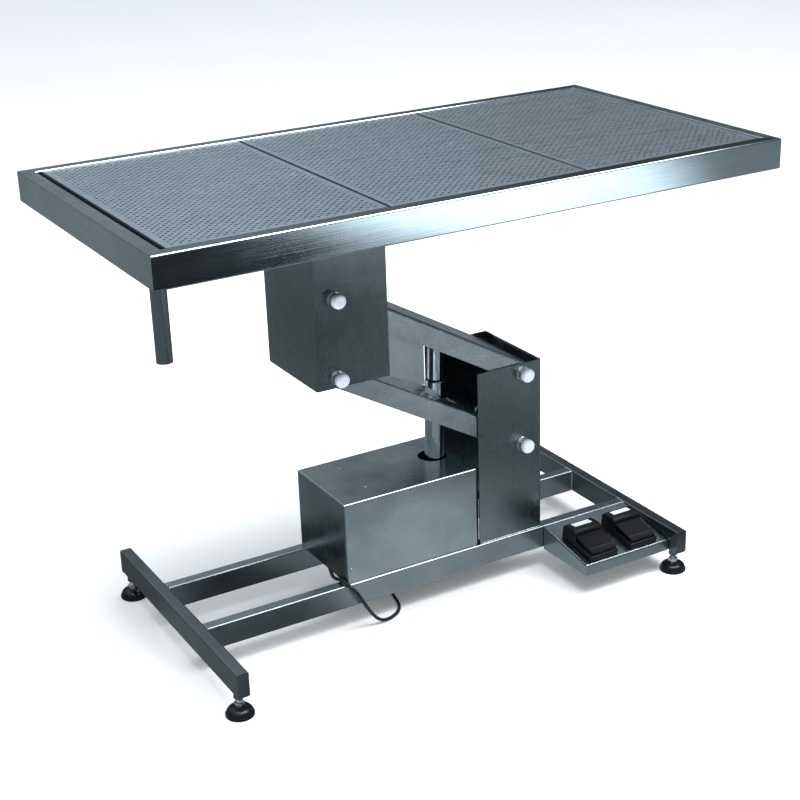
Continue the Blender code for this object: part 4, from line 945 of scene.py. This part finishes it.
wiperShape = {
    "mouth": 0.3140,  # from the lower pin to the mouth of the tube
    "profile": [(0.0172, -0.0020), (0.0174, 0.0002), (0.0196, 0.0004), (0.0196, 0.0012), (0.0186, 0.0022),
                (0.0176, 0.0026), (0.0172, 0.0022)],
}


def wiperRing(values):
    bottom = middle("clevis_pin")
    lean = (middle("rod_pin") - bottom).normalized()
    bm = spun(values["profile"], bottom + lean * values["mouth"], lean, 64)
    ring = newPiece("rodWiper", bm, "actuator_body", finishes["blackPlastic"], 30)


nippleShape = {
    "fromPin": 0.0640,
    "armHalf": 0.0211,
    "profile": [(0.0, -0.0004), (0.0045, -0.0004), (0.0045, 0.0028), (0.0022, 0.0036), (0.0016, 0.0058),
                (0.0030, 0.0072), (0.0027, 0.0088), (0.0014, 0.0100), (0.0, 0.0102)],
}


def greaseNipple(values):
    along = (pins["box"][1] - pins["column"][1]).normalized()
    outward = Vector((along.z, 0, -along.x))
    place = pins["column"][1] + along * values["fromPin"] + outward * values["armHalf"]
    nipple = newPiece("greaseNipple", spun(values["profile"], place, outward, 24), "lower_arm",
                      finishes["brightSteel"])


# black strips as painted shade in the gap between the cover and the column
gapShadeShape = {
    "width": 0.0052,
    "depth": 0.0080,
    "setBack": 0.0025,
    "belowTop": 0.0030,
    "inCover": 0.0002,
    "steps": 8,
}


def coverSeals(values):  # dark strips in the gap between the cover and the column, front and back, put in as painted shade so the gap shows dark
    low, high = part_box("motor_cover")
    bottom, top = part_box("rail_front")[1][2], high[2] - values["belowTop"]
    start, radius = high[0] - values["inCover"], values["width"] / 2
    bm = bmesh.new()
    for side, face in ((-1, low[1]), (1, high[1])):
        outer = face - side * values["setBack"]
        inner = outer - side * values["depth"]
        outline = [(start + values["width"], inner), (start, inner)]
        for step in range(values["steps"] + 1):
            angle = math.pi * step / values["steps"]
            outline.append((start + radius - radius * math.cos(angle),
                            outer - side * radius * (1 - math.sin(angle))))
        added(bm, stacked([[(x, y, z) for x, y in outline] for z in (bottom, top)]))
    newPiece("coverSeals", bm, "base", finishes["blackPlastic"], 40)


coverScrews(screwShape)
wiperRing(wiperShape)
greaseNipple(nippleShape)
coverSeals(gapShadeShape)
print("screws, seals, wiper and grease nipple done")

baseX = middle("rail_front").x
cord = {
    "radius": 0.0035,
    "coilCentre": (baseX + 0.014, 0.062),
    "coilMiddle": 0.0385,  # radius of a turn between the inner and the outer row
    "perTurn": 24,
    "beside": 0.0493,
    "floor": 0.0038,
    "bulge": 0.0034,
    "tail": 0.044,
    "plugHeight": 0.0128,
}
reliefHeight = middle("strain_relief").z
cordRoute = [
    (-0.1755, 0.0060, reliefHeight), (-0.1785, -0.0035, reliefHeight), (-0.1825, -0.0160, 0.0922),
    (-0.1868, -0.0300, 0.0911), (-0.1905, -0.0435, 0.0915), (-0.1933, -0.0570, 0.0943),
    (-0.1951, -0.0700, 0.0990), (-0.1957, -0.0830, 0.1036), (-0.1949, -0.0960, 0.1060),
    (-0.1923, -0.1080, 0.1046), (-0.1878, -0.1178, 0.0992), (-0.1815, -0.1244, 0.0904),
    (-0.1742, -0.1278, 0.0776), (-0.1658, -0.1285, 0.0614), (-0.1563, -0.1274, 0.0446),
    (-0.1460, -0.1256, 0.0290), (-0.1345, -0.1238, 0.0152), (-0.1210, -0.1220, 0.0066),
    (-0.1060, -0.1190, 0.0038), (-0.0900, -0.1130, 0.0038), (-0.0760, -0.1030, 0.0038),
    (-0.0650, -0.0890, 0.0038), (-0.0580, -0.0700, 0.0038), (-0.0530, -0.0480, 0.0038),
    (-0.0480, -0.0240, 0.0038), (-0.0430, 0.0000, 0.0038), (-0.0385, 0.0220, 0.0038),
    (-0.0358, 0.0430, 0.0038),
]


def smoothThrough(points, perSpan):
    padded = [points[0] * 2 - points[1]] + points + [points[-1] * 2 - points[-2]]
    path = []
    for a, b, c, d in zip(padded, padded[1:], padded[2:], padded[3:]):
        for step in range(perSpan):
            t = step / perSpan
            path.append(0.5 * ((2 * b) + (c - a) * t + (2 * a - 5 * b + 4 * c - d) * t ** 2
                               + (3 * b - a - 3 * c + d) * t ** 3))
    path.append(points[-1])
    return path


def eased(part):
    return part * part * (3 - 2 * part)


def coilPoints(values):
    step, low, bulge, perTurn = 2 * values["radius"], values["floor"], values["bulge"], values["perTurn"]
    wide, narrow = values["coilMiddle"] + values["radius"], values["coilMiddle"] - values["radius"]
    coilX, coilY = values["coilCentre"]
    turns = [  # radius and height at the start and end of each turn, and how far it bulges in between
        (values["beside"], wide, low, low, 0.0),
        (wide, narrow, low, low, 0.0),
        (narrow, narrow, low, low + step, -bulge),
        (narrow, narrow, low + step, low + 2 * step, -bulge),
        (narrow, wide, low + 2 * step, low + 2 * step, 0.0),
        (wide, wide, low + 2 * step, low + step, bulge),
    ]
    points = []
    for number, (startRadius, endRadius, startHeight, endHeight, swell) in enumerate(turns):
        isLast = number == len(turns) - 1
        for index in range(perTurn // 2 + 1 if isLast else perTurn):  # the last one is half a turn
            part = min(1.0, 2 * index / perTurn)
            radius = startRadius + (endRadius - startRadius) * eased(part)
            radius += swell * math.sin(math.pi * part) ** 2
            height = startHeight + (endHeight - startHeight) * eased(part)
            angle = math.pi - 2 * math.pi * index / perTurn
            points.append(Vector((coilX + radius * math.cos(angle), coilY + radius * math.sin(angle),
                                  height)))
    return points


def plugStart(values):
    return Vector((values["coilCentre"][0] + values["beside"], values["coilCentre"][1], values["plugHeight"]))


def cordPath(values):
    lead = [Vector((baseX + x, y, z)) for x, y, z in cordRoute]
    coilX, coilY = values["coilCentre"]
    besideCoil = Vector((coilX - values["beside"], coilY, values["floor"]))
    lead = smoothThrough(lead + [besideCoil], 3)[:-1]
    coil = coilPoints(values)
    last = coil[-1]
    end = plugStart(values) - Vector((0, values["tail"], 0))
    tail = []
    for index in range(1, 7):
        part = index / 6
        tail.append(Vector((last.x + (end.x - last.x) * eased(part), last.y + (end.y - last.y) * part,
                            last.z + (end.z - last.z) * eased(part))))
    return lead + coil + tail


def cordCurve(name, points, values, body):
    data = bpy.data.curves.new(name, "CURVE")
    data.dimensions = "3D"
    data.bevel_depth = values["radius"]
    data.bevel_resolution = 4
    data.use_fill_caps = True
    spline = data.splines.new("POLY")
    spline.points.add(len(points) - 1)
    for point, place in zip(spline.points, points):
        point.co = (*place, 1)
    data.materials.append(finishes["cordSheath"])
    made = bpy.data.objects.new(name, data)
    bpy.context.scene.collection.objects.link(made)
    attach(made, body)
    return made


plugShape = {
    "sleeve": (0.018, 0.0072, 0.0046, 0.0030, 5),  # length, thick end, slim end, hole, ribs
    "body": [(0.0, -0.002), (0.0068, -0.002), (0.0088, 0.0015), (0.0113, 0.0045), (0.0125, 0.0075),
             (0.0118, 0.0110), (0.0118, 0.0125), (0.0125, 0.0160), (0.0125, 0.0278), (0.0119, 0.0294),
             (0.0105, 0.030), (0.0, 0.030)],
    "prong": [(0.0, -0.001), (0.0025, -0.001), (0.0025, 0.0080), (0.0022, 0.0084), (0.0022, 0.0174),
              (0.00121, 0.0190), (0.0, 0.0190)],
    "prongSpread": 0.0095,
    "insulated": 0.0082,  # the plastic root of a prong
}
reliefShape = (0.032, 0.0062, 0.0046, 0.0030, 6)


def ribbedSleeve(length, wide, slim, hole, ribs):  # thick end first
    profile = [(hole, 0.0), (wide, 0.0), (wide, length * 0.22)]
    pitch = length * 0.70 / ribs
    for index in range(ribs):
        start = length * 0.26 + pitch * index
        radius = wide + (slim - wide) * (start / length)
        profile += [(radius - 0.0009, start), (radius - 0.0009, start + pitch * 0.35),
                    (radius, start + pitch * 0.45), (radius - 0.0001, start + pitch * 0.9)]
    return profile + [(slim, length - 0.0006), (slim - 0.0005, length), (hole, length)]


def mainsPlug(values, cordValues):
    start = plugStart(cordValues)
    ahead = Vector((0, -1, 0))
    bodyStart = cordValues["tail"] + values["sleeve"][0]
    sleeve = [(size, values["sleeve"][0] - z) for size, z in ribbedSleeve(*values["sleeve"])][::-1]
    bm = spun(sleeve, start + ahead * cordValues["tail"], ahead, 32)
    spun(values["body"], start + ahead * bodyStart, ahead, 48, bm)
    front = bodyStart + values["body"][-1][1]
    for side in (-1, 1):
        root = start + ahead * front + Vector((side * values["prongSpread"], 0, 0))
        spun(values["prong"], root, ahead, 20, bm)
    metalFrom = start.y - front - values["insulated"]
    made = newPiece("mainsPlug", bm, "base", finishes["cordSheath"], 35,
                    (finishes["boltSteel"], lambda centre: centre.y < metalFrom))
    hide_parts("plug")
    return made


def leadSleeve(shape, first, second):
    ahead = Vector((second.x - first.x, second.y - first.y, 0)).normalized()
    made = newPiece("leadSleeve", spun(ribbedSleeve(*shape), first - ahead * shape[0], ahead, 32), "base",
                    finishes["cordSheath"], 35)
    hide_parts("strain_relief")
    return made


cordLine = cordPath(cord)
cordLength = sum((b - a).length for a, b in zip(cordLine, cordLine[1:]))
mainsLead = cordCurve("mainsLead", cordLine, cord, "base")
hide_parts("cord_lead", "cord_coil")
routeStart = [Vector((baseX + x, y, z)) for x, y, z in cordRoute[:2]]
tuple(cordLine[0])
mainsPlug(plugShape, cord)
leadSleeve(reliefShape, *routeStart)
print("cord length", round(cordLength, 4))

studio = {
    "floorColour": (0.95, 0.94, 0.925),
    "floorGlow": 0.14,
    "floorSize": 40.0,
    "shade": (0.230, 0.260, 0.272),
    "glows": [  # middle, reach and strength of each lighter or darker patch that the steel mirrors
        ((1.94, -3.80), (1.00, 1.40), 2.30),
        ((0.40, -3.40), (0.70, 1.90), -0.24),
        ((0.62, -1.95), (0.60, 0.50), -0.15),
        ((0.80, -1.18), (0.36, 0.36), 0.08),
        ((0.52, -0.62), (0.28, 0.32), -0.15),
        ((0.20, -0.30), (0.45, 0.36), 0.26),
        ((-0.34, -0.27), (0.20, 0.24), -0.12),
        ((-1.90, 3.00), (1.30, 1.20), 0.05),
        ((-1.10, 1.70), (0.55, 0.65), -0.08),
        ((-0.50, 0.50), (0.38, 0.38), -0.11),
        ((-0.34, 0.14), (0.20, 0.26), -0.20),
    ],
    "glowEdge": 0.75,  # share of its reach at which a patch starts to fade
    "darkest": 0.1,
    "worldLow": (0.150, 0.178, 0.195),
    "worldHigh": (0.85, 0.92, 1.0),
    "worldFrom": (0.42, 0.85),
    "worldStrength": 1.35,
    "backdrop": (0.93, 0.94, 0.95),
    "dimFrom": (0.38, 0.58),  # the room is darker to the right of the table
    "dimTo": 0.25,
}
lights = {  # place, target, width and length, power, colour
    "topLight": ((0.3, -0.6, 4.2), (0, 0, 0.5), (3.6, 2.6), 330, (0.96, 0.98, 1.0)),
    "frontLight": ((2.0, -1.9, 3.9), (0, 0, 0.6), (2.2, 1.6), 75, (1, 1, 1)),
}


def stagePlane(name, size, material):
    bpy.ops.mesh.primitive_plane_add(size=size)
    plane = bpy.context.object
    plane.name = name
    plane.data.materials.append(material)
    return plane


def paleFloor(values):
    look = Look("studioFloorLook")
    pale = values["floorColour"]
    faint = look.remap(look.noise(look.coords(), 0.9, 3.0, 0.5), 0.35, 0.65, 0.0, 1.0)
    look.shader.inputs["Emission Strength"].default_value = values["floorGlow"]
    return look.surface(colour=look.mixed(faint, pale, shaded(pale, 0.985)), roughness=0.9, metallic=0.0,
                        glow=pale)


def mirroredRoom(values):  # what polished steel sees below the horizon, in place of the plain floor
    look = Look("mirroredRoomLook")
    where = look.coords()
    x, y = (look.node("ShaderNodeSeparateXYZ", {}, {0: where}, axis) for axis in (0, 1))
    level = 1.0
    for (middleX, middleY), (reachX, reachY), strength in values["glows"]:
        across, along = (x - middleX) / reachX, (y - middleY) / reachY
        far = (across * across + along * along).join("POWER", 0.5)
        level = look.remap(far, values["glowEdge"], 1.0, strength / values["shade"][1], 0.0) + level
    uneven = look.remap(look.noise(where, 2.2, 3.0, 0.55), 0.3, 0.7, 0.80, 1.15)
    level = level.join("MAXIMUM", values["darkest"]) * uneven
    glow = look.node("ShaderNodeEmission", {}, {"Color": (*values["shade"], 1), "Strength": level})
    look.tree.links.new(glow.socket, look.tree.nodes["Material Output"].inputs["Surface"])
    return look.material


def studioWorld(values):
    world = bpy.data.worlds.new("studioWorld")
    world.use_nodes = True
    sky = Graph()
    sky.tree = world.node_tree
    where = sky.node("ShaderNodeTexCoord", output="Generated")
    across, height = (sky.node("ShaderNodeSeparateXYZ", {}, {0: where}, axis) for axis in (0, 2))
    stops = [(place, (*values[key], 1)) for place, key in zip(values["worldFrom"], ("worldLow", "worldHigh"))]
    colour = sky.node("ShaderNodeValToRGB", {"stops": stops}, {0: height})
    level = sky.node("ShaderNodeMapRange", {}, {
        "Value": across, "From Min": values["dimFrom"][0], "From Max": values["dimFrom"][1], "To Min": 1.0,
        "To Max": values["dimTo"]})
    background = world.node_tree.nodes["Background"]
    sky.feed(background.inputs["Color"], colour)
    sky.feed(background.inputs["Strength"], level * values["worldStrength"])
    backdrop = sky.node("ShaderNodeBackground", {}, {"Color": (*values["backdrop"], 1), "Strength": 1.0})
    seen = sky.node("ShaderNodeLightPath", output="Is Camera Ray")
    lit = Wire(sky, background.outputs[0])
    shown = sky.node("ShaderNodeMixShader", {}, {0: seen, 1: lit, 2: backdrop})
    world.node_tree.links.new(shown.socket, world.node_tree.nodes["World Output"].inputs["Surface"])
    return world


def makeStudio(values):
    stagePlane("studioFloor", values["floorSize"], paleFloor(values)).visible_glossy = False
    room = stagePlane("mirroredRoom", values["floorSize"], mirroredRoom(values))
    for kind in ("camera", "diffuse", "transmission", "volume_scatter", "shadow"):
        setattr(room, "visible_" + kind, False)
    bpy.context.scene.world = studioWorld(values)
    bpy.context.scene.view_settings.view_transform = "Standard"


def softbox(name, place, target, size, power, colour):
    data = bpy.data.lights.new(name, "AREA")
    data.shape = "RECTANGLE"
    data.size, data.size_y = size
    data.energy = power
    data.color = colour
    made = bpy.data.objects.new(name, data)
    made.location = place
    made.rotation_euler = (Vector(target) - Vector(place)).to_track_quat("-Z", "Y").to_euler()
    bpy.context.scene.collection.objects.link(made)


makeStudio(studio)
for name, settings in lights.items():
    softbox(name, *settings)
print("studio lit")
